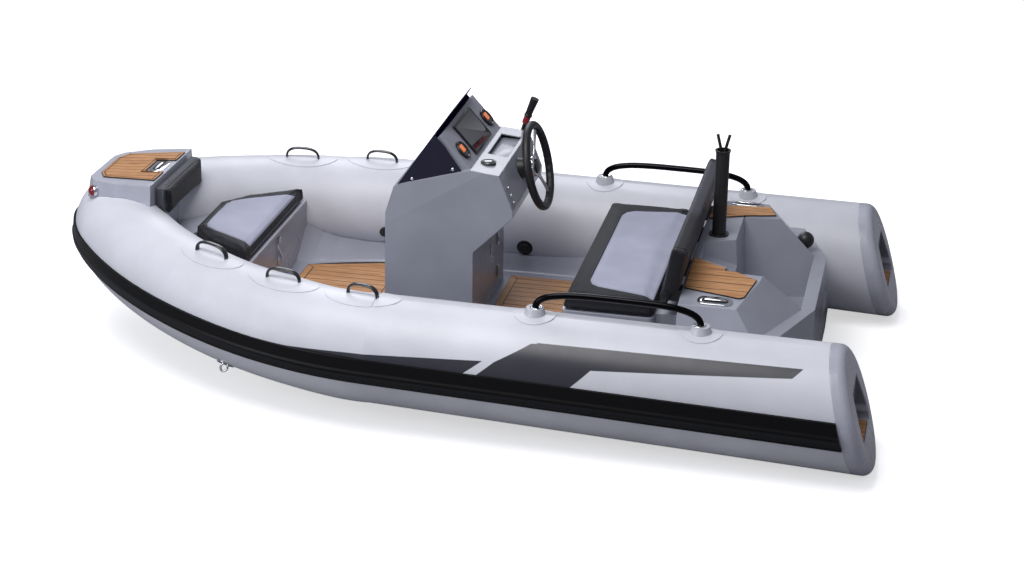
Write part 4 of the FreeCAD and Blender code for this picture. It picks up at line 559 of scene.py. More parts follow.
def loose_parts(node):
    """The corners of each separate body of a CAD node, always in the mesh's own order."""
    made = bmesh.new()
    made.from_mesh(NODES[node].data)
    bmesh.ops.remove_doubles(made, verts=made.verts, dist=1e-6)
    reached = set()
    parts = []
    for first in made.verts:
        if first in reached:
            continue
        reached.add(first)
        queue = [first]
        corners = []
        while queue:
            corner = queue.pop()
            corners.append(corner.co.copy())
            for edge in corner.link_edges:
                other = edge.other_vert(corner)
                if other not in reached:
                    reached.add(other)
                    queue.append(other)
        parts.append(corners)
    made.free()
    return parts


def add_object(name, mesh, material, body="boat", smooth=True):
    piece = bpy.data.objects.new(name, mesh)
    bpy.context.scene.collection.objects.link(piece)
    mesh.materials.append(material)
    for polygon in mesh.polygons:
        polygon.use_smooth = smooth
    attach(piece, body)
    return piece


def from_bmesh(name, made, material, body="boat", smooth=True):
    bmesh.ops.recalc_face_normals(made, faces=made.faces)
    mesh = bpy.data.meshes.new(name)
    made.to_mesh(mesh)
    made.free()
    return add_object(name, mesh, material, body, smooth)


def circle(steps):
    """Cosine and sine of even steps round a circle."""
    return [(math.cos(2 * math.pi * k / steps), math.sin(2 * math.pi * k / steps)) for k in range(steps)]


def skinned(made, rings, closed=True):
    """Faces from each ring of corners to the next, and over both ends."""
    for low, high in zip(rings, rings[1:]):
        count = len(low)
        for i in range(count):
            made.faces.new((low[i], low[(i + 1) % count], high[(i + 1) % count], high[i]))
    if closed:
        made.faces.new(rings[0][::-1])
        made.faces.new(rings[-1])
    return made


def turned(profile, steps, place, made=None):
    """Surface of revolution of (radius, height) points round local Z, set by a matrix, in a bmesh."""
    made = made or bmesh.new()
    return skinned(made, [[made.verts.new(place @ Vector((radius * c, radius * s, height)))
                           for c, s in circle(steps)] for radius, height in profile])


def bar(made, route, radius, flat, side, steps=20):
    """Oval bar along points, in a bmesh; side is the way that the oval's long axis starts out."""
    rings = []
    for i, point in enumerate(route):
        ahead = (route[min(i + 1, len(route) - 1)] - route[max(i - 1, 0)]).normalized()
        side = (side - ahead * side.dot(ahead)).normalized()
        up = ahead.cross(side)
        rings.append([made.verts.new(point + side * radius * c + up * radius * flat * s)
                      for c, s in circle(steps)])
    return skinned(made, rings)


def rounded_slab(outline, low, high, edge, made=None, place=None):
    """Slab of a plan outline with its upper edge rounded over, in a bmesh."""
    made = made or bmesh.new()
    place = place or Matrix.Identity(4)
    levels = [(0.0, low), (0.0, high - edge), (edge * 0.3, high - edge * 0.3), (edge, high)]
    rings = []
    for inset, z in levels:
        ring = inset_outline(outline, inset) if inset else outline
        rings.append([made.verts.new(place @ Vector((x, y, z))) for x, y in ring])
    return skinned(made, rings)


# Plan outlines

def area_of(outline):
    return sum(x0 * y1 - x1 * y0 for (x0, y0), (x1, y1) in zip(outline, outline[1:] + outline[:1])) / 2


def anticlockwise(outline):
    return outline if area_of(outline) > 0 else outline[::-1]


def inset_outline(outline, distance):
    """The outline moved inward by a distance, corner by corner."""
    count = len(outline)
    result = []
    for i in range(count):
        x0, y0 = outline[i - 1]
        x1, y1 = outline[i]
        x2, y2 = outline[(i + 1) % count]
        a = Vector((x1 - x0, y1 - y0)).normalized()
        b = Vector((x2 - x1, y2 - y1)).normalized()
        na = Vector((-a.y, a.x))
        nb = Vector((-b.y, b.x))
        bisector = na + nb
        reach = max(bisector.length_squared / 2, 0.35)
        move = bisector * (distance / reach)
        result.append((x1 + move.x, y1 + move.y))
    return result


def clip(outline, nx, ny, limit):
    """The part of an outline where nx * x + ny * y >= limit."""
    result = []
    for (x0, y0), (x1, y1) in zip(outline, outline[1:] + outline[:1]):
        d0 = nx * x0 + ny * y0 - limit
        d1 = nx * x1 + ny * y1 - limit
        if d0 >= 0:
            result.append((x0, y0))
        if (d0 > 0 > d1) or (d0 < 0 < d1):
            t = d0 / (d0 - d1)
            result.append((x0 + (x1 - x0) * t, y0 + (y1 - y0) * t))
    return result


def without_repeats(outline, near=0.0015):
    result = []
    for point in outline:
        if not result or math.dist(point, result[-1]) > near:
            result.append(point)
    while len(result) > 2 and math.dist(result[0], result[-1]) < near:
        result.pop()
    return result


def rounded_rectangle(half_x, half_y, corner, steps=5):
    points = []
    for cx, cy, start in ((1, 1, 0), (-1, 1, 90), (-1, -1, 180), (1, -1, 270)):
        for i in range(steps + 1):
            a = math.radians(start + 90 * i / steps)
            points.append((cx * (half_x - corner) + corner * math.cos(a),
                           cy * (half_y - corner) + corner * math.sin(a)))
    return points


def stadium(half, radius, steps=12):
    points = []
    for side, start in ((1, -90), (-1, 90)):
        for i in range(steps + 1):
            a = math.radians(start + 180 * i / steps)
            points.append((side * (half - radius) + radius * math.cos(a), radius * math.sin(a)))
    return points


def tube_axis(x):
    """Point of the port tube's axis at x, its radius and its heading."""
    def at(t):
        u = 1 - t
        px = (u ** 3 * TUBE_BEND_X + 3 * u * u * t * (TUBE_BEND_X + SHOULDER)
              + (3 * u + t) * t * t * TUBE_STEM_X)
        py = (u ** 3 + 3 * u * u * t) * TUBE_Y + 3 * u * t * t * FOREFOOT
        return px, py
    radius = STERN_RADIUS - (STERN_RADIUS - BOW_RADIUS) * (x - TUBE_STERN_X) / (TUBE_STEM_X - TUBE_STERN_X)
    lift = max(0.0, (x - TUBE_BEND_X) / (TUBE_STEM_X - TUBE_BEND_X))
    z = TUBE_AXIS_Z + SHEER_SLOPE * (x - TUBE_STERN_X) + BOW_RISE * lift * lift
    if x <= TUBE_BEND_X:
        return Vector((x, TUBE_Y, z)), radius, 0.0
    low, high = 0.0, 1.0
    for _ in range(40):
        middle = (low + high) / 2
        if at(middle)[0] < x:
            low = middle
        else:
            high = middle
    ahead = at(min(1.0, low + 0.002))
    behind = at(low - 0.002)
    return Vector((x, at(low)[1], z)), radius, math.atan2(ahead[1] - behind[1], ahead[0] - behind[0])


def valve_place(x, turn, side):
    """Place on the tube's skin at x, turned from outboard round the tube, on the port side or mirrored."""
    point, radius, heading = tube_axis(x)
    place = (Matrix.Translation(point) @ Matrix.Rotation(heading, 4, "Z")
             @ Matrix.Rotation(math.radians(turn - 90), 4, "X") @ Matrix.Translation((0, 0, radius)))
    return place if side > 0 else Matrix.Scale(-1, 4, Vector((0, 1, 0))) @ place


def top_loops(node, slack, level=0.8):
    """Outlines of the upward faces of a CAD node, and a tree to find their height."""
    made = bmesh.new()
    made.from_mesh(NODES[node].data)
    bmesh.ops.remove_doubles(made, verts=made.verts, dist=1e-5)
    made.normal_update()
    bmesh.ops.delete(made, geom=[face for face in made.faces if face.normal.z < level], context="FACES")
    tree = BVHTree.FromBMesh(made)
    following = {}
    for edge in made.edges:
        if len(edge.link_faces) == 1:
            loop = edge.link_loops[0]
            following.setdefault(loop.vert, []).append(loop.link_loop_next.vert)
    loops = []
    while following:
        start = next(iter(following))
        ring = [start]
        while following.get(ring[-1]):
            nxt = following[ring[-1]].pop()
            if not following[ring[-1]]:
                del following[ring[-1]]
            if nxt is start:
                break
            ring.append(nxt)
        loops.append([(v.co.x, v.co.y) for v in ring])
    made.free()
    rings = [anticlockwise(straightened(without_repeats(loop), slack)) for loop in loops]
    return [ring for ring in rings if len(ring) > 2 and area_of(ring) > 5e-4], tree


def straightened(outline, slack):
    """The outline without corners that lie on a straight run."""
    result = []
    count = len(outline)
    for i in range(count):
        a = Vector(outline[i - 1])
        b = Vector(outline[i])
        c = Vector(outline[(i + 1) % count])
        span = c - a
        off = abs((b - a).cross(span)) / max(span.length, 1e-9)
        if off > slack:
            result.append(outline[i])
    return result


def corner_runs(outline, sharp=24.0):
    """Splits an outline at its sharp corners into runs of point indices."""
    count = len(outline)
    corners = []
    for i in range(count):
        a = Vector(outline[i]) - Vector(outline[i - 1])
        b = Vector(outline[(i + 1) % count]) - Vector(outline[i])
        if abs(math.degrees(a.angle_signed(b, 0.0))) > sharp:
            corners.append(i)
    if len(corners) < 2:
        return [list(range(count)) + [0]]
    runs = []
    for start, end in zip(corners, corners[1:] + [corners[0] + count]):
        runs.append([k % count for k in range(start, end + 1)])
    return runs


def boards_of(outline, margin, plank, seam):
    """Margin boards round a pad, mitred at its corners, and fore-and-aft planks inside them."""
    inner = inset_outline(outline, margin) if margin else outline
    boards = []
    for run in corner_runs(outline) if margin else ():
        outer = [outline[k] for k in run]
        back = [inner[k] for k in reversed(run)]
        boards.append(without_repeats(outer + back))
    ys = [y for _, y in inner]
    count = max(1, round((max(ys) - min(ys)) / plank))
    width = (max(ys) - min(ys)) / count
    for i in range(count):
        low = min(ys) + i * width
        strip = clip(clip(inner, 0, 1, low), 0, -1, -(low + width))
        strip = without_repeats(strip)
        if len(strip) > 2 and abs(area_of(strip)) > 1e-4:
            boards.append(strip)
    return [inset_outline(anticlockwise(board), seam / 2) for board in boards]


def lay_planks(name, node, margin, sizes, material, base, plank=None, slack=0.0015):
    """Boards over a CAD pad, which stays beneath as the caulk between them."""
    loops, tree = top_loops(node, slack)
    made = bmesh.new()
    for loop in loops:
        for board in boards_of(loop, margin, plank or sizes.plank, sizes.seam):
            rings = []
            for inset, lift in ((0.0, -0.0006), (0.0, PLANK_PROUD / 2), (0.0007, PLANK_PROUD)):
                ring = []
                for x, y in (inset_outline(board, inset) if inset else board):
                    hit = tree.ray_cast(Vector((x, y, 2.0)), Vector((0, 0, -1)))[0]
                    z = hit.z if hit else tree.find_nearest(Vector((x, y, 0.5)))[0].z
                    ring.append(made.verts.new((x, y, z + lift)))
                rings.append(ring)
            skinned(made, rings)
    bmesh.ops.triangulate(made, faces=[face for face in made.faces if len(face.verts) > 4])
    from_bmesh(name, made, material, smooth=False)
    recoat(node, base)


def recoat(node, material):
    """Gives a CAD node its finish."""
    mesh = NODES[node].data
    mesh.materials.clear()
    mesh.materials.append(material)


# Operators

class BOAT_OT_finishes(bpy.types.Operator):
    """Finishes for the mouldings, tubes and hardware that keep their own shape"""
    bl_idname = "boat.finishes"
    bl_label = "Finishes"

    def execute(self, context):
        sizes, colours = boat()
        fabric = tube_fabric(colours, sizes)
        steel = metal("polished_steel", (0.62, 0.63, 0.66), 0.10)
        black = plastic("black_plastic", (0.012, 0.012, 0.013), 0.36)
        step = gelcoat("step_gelcoat", tuple(colours.step), 0.20)
        liner = gelcoat("liner_gelcoat", tuple(colours.liner), 0.26)
        console = gelcoat("console_gelcoat", tuple(colours.console), 0.30, soften=0.006)
        coats = {
            fabric: ("tube_port", "tube_starboard", "tube_bow", "tube_patches"),
            strake_rubber(colours): ("rubbing_strake",),
            hull_gelcoat(tuple(colours.hull)): ("hull",),
            liner: ("cockpit_liner", "helm_seat_base"),
            step: ("bow_step", "bow_locker_lid"),
            cap_gelcoat(tuple(colours.step), tuple(colours.recess)): ("tube_end_caps",),
            console: ("console_shell", "console_door"),
            steel: ("hinges", "door_latch", "switches", "navigation_lights", "towing_eyes", "locker_latch"),
            plastic("cup_plastic", (0.52, 0.53, 0.58), 0.28, coat=0.3): ("rail_cups",),
            black: ("inflation_valves", "backrest_brackets", "steering_boss", "rigging_tube", "tow_ball",
                    "throttle_lever", "compass"),
            plastic("cable_sheath", (0.008, 0.008, 0.008), 0.42): ("cable_stubs",),
            smoked_acrylic(tuple(colours.acrylic)): ("windscreen",),
            plastic("screen_glass", (0.004, 0.004, 0.006), 0.05, 60.0, 0.0001, 0.001, 0.8): ("dash_display",),
            plastic("gauge_case", (0.010, 0.010, 0.011), 0.25): ("dash_gauges",),
            lamp_lens(colours): ("lamp_lenses",),
        }
        for material, nodes in coats.items():
            for node in nodes:
                recoat(node, material)
        return {"FINISHED"}


class BOAT_OT_decking(bpy.types.Operator):
    """Teak boards with caulked seams on the floor, bow step, aft deck and boarding steps"""
    bl_idname = "boat.decking"
    bl_label = "Decking"

    def execute(self, context):
        sizes, colours = boat()
        wood = teak(colours, sizes)
        seams = caulk(colours)
        lay_planks("floor_planks", "floor_teak", sizes.margin, sizes, wood, seams)
        lay_planks("bow_step_planks", "bow_step_teak", 0.012, sizes, wood, seams, plank=0.036)
        lay_planks("aft_deck_planks", "aft_deck_teak", 0.0, sizes, wood, seams, plank=0.046)
        lay_planks("boarding_step_planks", "cap_step_pads", 0.0, sizes, wood, seams, plank=0.034,
                   slack=0.0001)
        return {"FINISHED"}


# Padding

def panel_gap(outline, point):
    """Distance from a point to a convex outline: positive inside."""
    return min(edge_gaps(outline, point.x, point.y))


def outline_gap(outline):
    """The same distance as a shader expression."""
    def build(f):
        x, y, _ = f.xyz()
        least, *others = edge_gaps(outline, x, y)
        for gap in others:
            least = least.least(gap)
        return least
    return build


def panel_mask(outline, level):
    """Light panel: inside the outline, on the upward side of the pad."""
    def build(f):
        _, _, z = f.xyz()
        return outline_gap(outline)(f).rise(-0.0008, 0.0008) * z.rise(level - 0.003, level + 0.002)
    return build


def shrunken(node, margin):
    """Copy of a CAD node's mesh, scaled about its middle to leave a margin all round."""
    mesh = NODES[node].data.copy()
    low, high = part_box(node)
    middle = (Vector(low) + Vector(high)) / 2
    span = Vector(high) - Vector(low)
    for vertex in mesh.vertices:
        for axis in range(3):
            share = 1 - 2 * margin / span[axis]
            vertex.co[axis] = middle[axis] + (vertex.co[axis] - middle[axis]) * share
    mesh.materials.clear()
    return mesh


def applied(piece):
    """Replaces the piece's mesh by what its modifiers make of it."""
    graph = bpy.context.evaluated_depsgraph_get()
    mesh = bpy.data.meshes.new_from_object(piece.evaluated_get(graph))
    piece.modifiers.clear()
    old = piece.data
    piece.data = mesh
    bpy.data.meshes.remove(old)
    return mesh


def swollen(piece, swell, pressure, held):
    """Cloth simulation under inner pressure; no point moves further than swell."""
    group = piece.vertex_groups.new(name="held")
    group.add([v.index for v in piece.data.vertices if held(v.co)], 1.0, "REPLACE")
    start = [v.co.copy() for v in piece.data.vertices]
    cloth = piece.modifiers.new("Padding", "CLOTH")
    cloth.settings.quality = 5
    cloth.settings.mass = 0.3
    cloth.settings.use_pressure = True
    cloth.settings.uniform_pressure_force = pressure
    cloth.settings.tension_stiffness = 12
    cloth.settings.compression_stiffness = 12
    cloth.settings.shear_stiffness = 6
    cloth.settings.bending_stiffness = 0.6
    cloth.settings.vertex_group_mass = "held"
    cloth.settings.effector_weights.gravity = 0
    cloth.collision_settings.use_collision = False
    scene = bpy.context.scene
    cloth.point_cache.frame_start = 1
    cloth.point_cache.frame_end = 20
    for moment in range(1, 21):
        scene.frame_set(moment)
    graph = bpy.context.evaluated_depsgraph_get()
    result = [v.co.copy() for v in piece.evaluated_get(graph).data.vertices]
    piece.modifiers.clear()
    scene.frame_set(1)
    for vertex, before, after in zip(piece.data.vertices, start, result):
        move = after - before
        if move.length > swell:
            move = move * (swell / move.length)
        vertex.co = before + move
    piece.vertex_groups.clear()


def upholster(name, node, body, material, voxel, margin, shape, held):
    """Pad blown up from a CAD cushion, then shaped at its seams by shape(co, normal) in metres outward."""
    piece = bpy.data.objects.new(name, shrunken(node, margin))
    bpy.context.scene.collection.objects.link(piece)
    remesh = piece.modifiers.new("Even", "REMESH")
    remesh.mode = "VOXEL"
    remesh.voxel_size = voxel
    applied(piece)
    swollen(piece, margin + 0.001, 4.0, held)
    smooth = piece.modifiers.new("Smooth", "SMOOTH")
    smooth.iterations = 2
    divide = piece.modifiers.new("Finer", "SUBSURF")
    divide.levels = 1
    mesh = applied(piece)
    normals = [vertex.normal.copy() for vertex in mesh.vertices]
    for vertex, normal in zip(mesh.vertices, normals):
        vertex.co += normal * shape(vertex.co, normal)
    mesh.materials.clear()
    mesh.materials.append(material)
    for polygon in mesh.polygons:
        polygon.use_smooth = True
    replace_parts(piece, node)
    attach(piece, body)
    return piece


def groove(gap, depth, width):
    return -depth * math.exp(-(gap / width) ** 2)


class BOAT_OT_upholstery(bpy.types.Operator):
    """Helm and bow cushions with light panels, the backrest and the bow bolster"""
    bl_idname = "boat.upholstery"
    bl_label = "Upholstery"

    def execute(self, context):
        sizes, colours = boat()
        for name, node, body, outline in (("helm_cushion", "helm_seat_cushion", "boat", HELM_PANEL),
                                          ("bow_cushion", "bow_locker_cushion", "locker_lid", BOW_PANEL)):
            low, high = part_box(node)

            def shape(co, normal, outline=outline, top=high[2]):
                if normal.z < 0.3:
                    return groove(co.z - (top - 0.016), 0.0016, 0.004)
                gap = panel_gap(outline, co)
                crown = 0.0025 * min(1.0, max(0.0, gap) / 0.03)
                return groove(gap, 0.0035, 0.005) + crown

            vinyl = two_tone_vinyl(name + "_vinyl", colours, sizes, panel_mask(outline, high[2] - 0.016),
                                   outline_gap(outline))
            pad = upholster(name, node, body, vinyl, 0.007, sizes.swell, shape,
                            lambda co, floor=low[2]: co.z < floor + 0.016)
        self.backrest(sizes, colours)
        self.bolster(sizes, colours)
        return {"FINISHED"}

    def backrest(self, sizes, colours):
        low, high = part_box("backrest_pad")
        half = high[1]

        def shape(co, normal):
            seams = (groove(co.y - BACKREST_SEAM_Y, 0.003, 0.005)
                     + groove(abs(co.y) - half + 0.045, 0.003, 0.005))
            return seams + groove(co.z - low[2] - 0.066, 0.002, 0.005)

        vinyl = backrest_vinyl(colours, half)
        pad = upholster("backrest", "backrest_pad", "boat", vinyl, 0.007, sizes.swell, shape,
                        lambda co: co.z < low[2] + 0.03)

    def bolster(self, sizes, colours):
        low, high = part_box("bow_bolster")

        def shape(co, normal):
            return groove(co.x - low[0] - 0.018, 0.003, 0.004) if abs(normal.x) < 0.8 else 0.0

        vinyl = bolster_vinyl(colours, low[0])
        pad = upholster("bolster", "bow_bolster", "boat", vinyl, 0.005, 0.006, shape,
                        lambda co: co.x > high[0] - 0.01)


class BOAT_OT_wheel(bpy.types.Operator):
    """Steering wheel: moulded rim with finger grips, polished spokes and a black horn cap"""
    bl_idname = "boat.wheel"
    bl_label = "Steering wheel"

    def execute(self, context):
        self.rim()
        self.spokes()
        self.cap()
        return {"FINISHED"}

    def rim(self):
        around = 240
        section = 24
        made = bmesh.new()
        rings = []
        for i in range(around):
            a = 2 * math.pi * i / around
            grip = 0.5 + 0.5 * math.cos(a * GRIPS)
            ring = []
            for k in range(section):
                b = 2 * math.pi * k / section
                inward = max(0.0, -math.cos(b))
                small = RIM_THICK / 2 - GRIP_DEPTH * grip * inward ** 2
                seam = 0.0009 * math.exp(-((math.degrees(b) - 180) / 6) ** 2)
                reach = RIM_RADIUS + (small - seam) * math.cos(b)
                ring.append(made.verts.new(WHEEL @ Vector((reach * math.cos(a), reach * math.sin(a),
                                                           (small - seam) * math.sin(b)))))
            rings.append(ring)
        skinned(made, rings + rings[:1], closed=False)
        f = Finish("rim_rubber", Specular_IOR_Level=0.45)
        grain = f.noise(700.0, 2.0)
        f.set(Base_Color=f.shade((0.012, 0.012, 0.014), f.noise(20.0)), Roughness=0.36 + grain * 0.15)
        f.relief(grain, 0.0004, 0.6)
        piece = from_bmesh("wheel_rim", made, f.material, "wheel")
        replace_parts(piece, "steering_wheel_rim")

    def spokes(self):
        steel = metal("spoke_steel", (0.75, 0.76, 0.79), 0.06)
        made = bmesh.new()
        for turn in (90, 210, 330):
            spin = WHEEL @ Matrix.Rotation(math.radians(turn), 4, "Z")
            rings = []
            for i in range(13):
                t = i / 12
                r = SPOKE_FOOT + (SPOKE_END - SPOKE_FOOT) * t
                z = -0.013 + 0.012 * t ** 1.6
                wide = 0.0150 - 0.0070 * math.sin(math.pi * min(1.0, t * 1.1)) ** 2
                thick = 0.0052 - 0.0012 * t
                ring = []
                for c, s in circle(12):
                    y = wide * math.copysign(abs(c) ** 0.6, c)
                    ring.append(made.verts.new(spin @ Vector((r, y, z + thick * s))))
                rings.append(ring)
            skinned(made, rings)
        profile = [(0.0405, -0.0245), (0.0415, -0.018), (0.040, -0.0105), (0.036, -0.0078), (0.030, -0.0082),
                   (0.0285, -0.0105)]
        turned(profile, 48, WHEEL, made)
        turned([(0.010, -0.0610), (0.010, -0.024)], 32, WHEEL, made)
        piece = from_bmesh("wheel_spokes", made, steel, "wheel")
        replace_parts(piece, "steering_wheel_hub")

    def cap(self):
        made = bmesh.new()
        profile = [(0.0285, -0.0110), (0.0282, -0.0050), (0.0265, -0.0025), (0.0200, -0.0008),
                   (0.0195, -0.0014), (0.0100, 0.0004), (0.0010, 0.0006)]
        turned(profile, 48, WHEEL, made)
        from_bmesh("horn_cap", made, plastic("cap_plastic", (0.010, 0.010, 0.011), 0.22), "wheel")


class BOAT_OT_dash(bpy.types.Operator):
    """Screen, gauges, compass, switches, throttle trim and the windscreen's bolts"""
    bl_idname = "boat.dash"
    bl_label = "Dash"

    def execute(self, context):
        black = plastic("bezel_plastic", (0.010, 0.010, 0.012), 0.20, coat=0.4)
        steel = metal("bolt_steel", (0.70, 0.71, 0.74), 0.10)
        self.screen(black)
        self.gauges(black)
        self.compass(black)
        self.tray()
        self.switches(steel)
        self.bolts(steel)
        self.throttle(black)
        return {"FINISHED"}

    def screen(self, black):
        outline = rounded_rectangle(*SCREEN_HALF, 0.006)
        made = bmesh.new()
        frame_height = 0.0078
        rings = []
        for inset, z in ((0.0, 0.0055), (0.0, frame_height - 0.0008), (0.0010, frame_height),
                         (0.0065, frame_height), (0.0072, frame_height - 0.0012)):
            rings.append([made.verts.new(DASH @ Vector((x, y, z))) for x, y in inset_outline(outline, inset)])
        from_bmesh("screen_bezel", skinned(made, rings), black)
        f = Finish("screen_glass_lit", Coat_Weight=1.0, Coat_Roughness=0.03)
        f.set(Base_Color=f.mix(f.noise(2.5, 2.0), (0.004, 0.004, 0.005), (0.016, 0.016, 0.020)),
              Roughness=0.10 + f.noise(60.0) * 0.05)
        made = rounded_slab(inset_outline(outline, 0.0078), 0.0055, 0.0070, 0.0004, place=DASH)
        from_bmesh("screen_pane", made, f.material)

    def gauges(self, black):
        made = bmesh.new()
        lcd = bmesh.new()
        keys = bmesh.new()
        for side in (-1, 1):
            place = DASH @ Matrix.Translation((side * GAUGE_ACROSS, GAUGE_UP, 0))
            turned([(0.0375, 0.0068), (0.0378, 0.0085), (0.0365, 0.0102), (0.0335, 0.0106), (0.0318, 0.0096),
                    (0.0310, 0.0078)], 48, place, made)
            window = place @ Matrix.Translation((0.0, 0.006, 0))
            rounded_slab(rounded_rectangle(0.0165, 0.0150, 0.002), 0.0074, 0.0084, 0.0003, lcd, window)
            for step in (-1, 0, 1):
                low, high = step * 0.011 - 0.004, step * 0.011 + 0.004
                key = [(low, -0.020), (high, -0.020), (high, -0.0165), (low, -0.0165)]
                rounded_slab(key, 0.0074, 0.0086, 0.0004, keys, place)
        from_bmesh("gauge_bezels", made, black)
        f = Finish("gauge_lcd", Emission_Strength=0.55, Coat_Weight=0.5, Coat_Roughness=0.05)
        _, y, z = f.xyz()
        bars = f.node("ShaderNodeTexBrick", None, f.scaled(60.0, 60.0, 60.0), Scale=5.0)[1]
        up = (z * 260.0 % 1.0).rise(0.30, 0.36) * (y * 150.0 % 1.0).rise(0.22, 0.30)
        ink = (1 - up) * 0.75 + bars * 0.1
        lit = f.mix(ink.least(1.0), (0.95, 0.26, 0.07), (0.30, 0.05, 0.015))
        f.set(Base_Color=lit, Emission_Color=lit, Roughness=0.2 + f.noise(50.0) * 0.1)
        from_bmesh("gauge_windows", lcd, f.material)
        from_bmesh("gauge_keys", keys, plastic("key_rubber", (0.09, 0.09, 0.10), 0.4))

    def compass(self, black):
        low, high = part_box("compass")
        place = Matrix.Translation(((low[0] + high[0]) / 2, (low[1] + high[1]) / 2, high[2]))
        made = turned([(0.0300, -0.0052), (0.0306, -0.0010), (0.0290, 0.0014), (0.0262, 0.0016),
                       (0.0250, 0.0004)], 48, place)
        from_bmesh("compass_ring", made, black)
        f = Finish("compass_card", Coat_Weight=1.0, Coat_Roughness=0.02)
        x, y, _ = f.xyz()
        x = x - place.translation.x
        y = y - place.translation.y
        angle = y.math("ARCTAN2", x)
        reach = (x * x + y * y).root()
        tick = ((angle * (12 / math.pi) % 1.0).rise(0.80, 0.86) * reach.rise(0.015, 0.0155)
                * reach.rise(0.0215, 0.021))
        f.set(Base_Color=f.mix(tick, (0.006, 0.006, 0.007), (0.30, 0.30, 0.32)),
              Roughness=0.1 + f.noise(80.0) * 0.05)
        made = turned([(0.0250, -0.002), (0.0248, 0.0008), (0.0200, 0.0034), (0.0120, 0.0052),
                       (0.0010, 0.0060)], 48, place)
        from_bmesh("compass_dome", made, f.material)

    def tray(self):
        """Pale floor of the tray in the console's top."""
        _, colours = boat()
        made = rounded_slab(rounded_rectangle(*TRAY_HALF, 0.012), TRAY_FLOOR - 0.002, TRAY_FLOOR, 0.0005,
                            place=Matrix.Translation((*TRAY_AT, 0)))
        from_bmesh("tray_floor", made, gelcoat("tray_gelcoat", tuple(colours.liner), 0.3))

    def switches(self, steel):
        domes = bmesh.new()
        collars = bmesh.new()
        for i in range(3):
            along = SWITCH_FIRST + SWITCH_PITCH * i
            foot = Vector(SWITCH_FOOT) - Vector((math.cos(CONSOLE_SLOPE), 0, math.sin(CONSOLE_SLOPE))) * along
            place = Matrix.Translation(foot) @ Matrix.Rotation(-math.pi + CONSOLE_SLOPE, 4, "Y")
            turned([(0.0082, 0.0055), (0.0082, 0.0080), (0.0066, 0.0100), (0.0035, 0.0114),
                    (0.0006, 0.0118)], 32, place, domes)
            turned([(0.0112, 0.0002), (0.0112, 0.0018), (0.0100, 0.0030), (0.0084, 0.0030)], 6, place,
                   collars)
        from_bmesh("switch_domes", domes, steel)
        from_bmesh("switch_nuts", collars, metal("nut_steel", (0.45, 0.46, 0.48), 0.22), smooth=False)

    def bolts(self, steel):
        made = bmesh.new()
        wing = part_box("windscreen")[1][1]
        for x, z in SCREEN_BOLTS:
            for side in (-1, 1):
                place = Matrix.Translation((x, side * wing, z)) @ Matrix.Rotation(-side * math.pi / 2, 4, "X")
                turned([(0.0068, -0.0004), (0.0068, 0.0012), (0.0052, 0.0030), (0.0020, 0.0038),
                        (0.0004, 0.0039)], 24, place, made)
        from_bmesh("wing_bolts", made, steel)

    def throttle(self, black):
        """Red band and collar on the lever, and the housing at its foot."""
        axis = THROTTLE_LEAN.normalized()
        place = Matrix.Translation(THROTTLE_FOOT) @ axis.to_track_quat("Z", "Y").to_matrix().to_4x4()
        band = turned([(0.0118, 0.0), (0.0135, 0.003), (0.0138, 0.028), (0.0125, 0.031)], 32, place)
        red = plastic("red_band", (0.32, 0.012, 0.022), 0.30)
        from_bmesh("throttle_band", band, red)
        collar = turned([(0.0130, 0.031), (0.0160, 0.033), (0.0166, 0.040), (0.0150, 0.043)], 32, place)
        from_bmesh("throttle_collar", collar, black)
        lower = Matrix.Translation(THROTTLE_PIVOT) @ Matrix.Rotation(math.pi / 2, 4, "X")
        disc = turned([(0.0385, 0.0), (0.0390, 0.004), (0.0370, 0.0255), (0.0300, 0.0290),
                       (0.0010, 0.0300)], 48, lower)
        from_bmesh("throttle_housing", disc, plastic("housing_plastic", (0.016, 0.016, 0.018), 0.32))


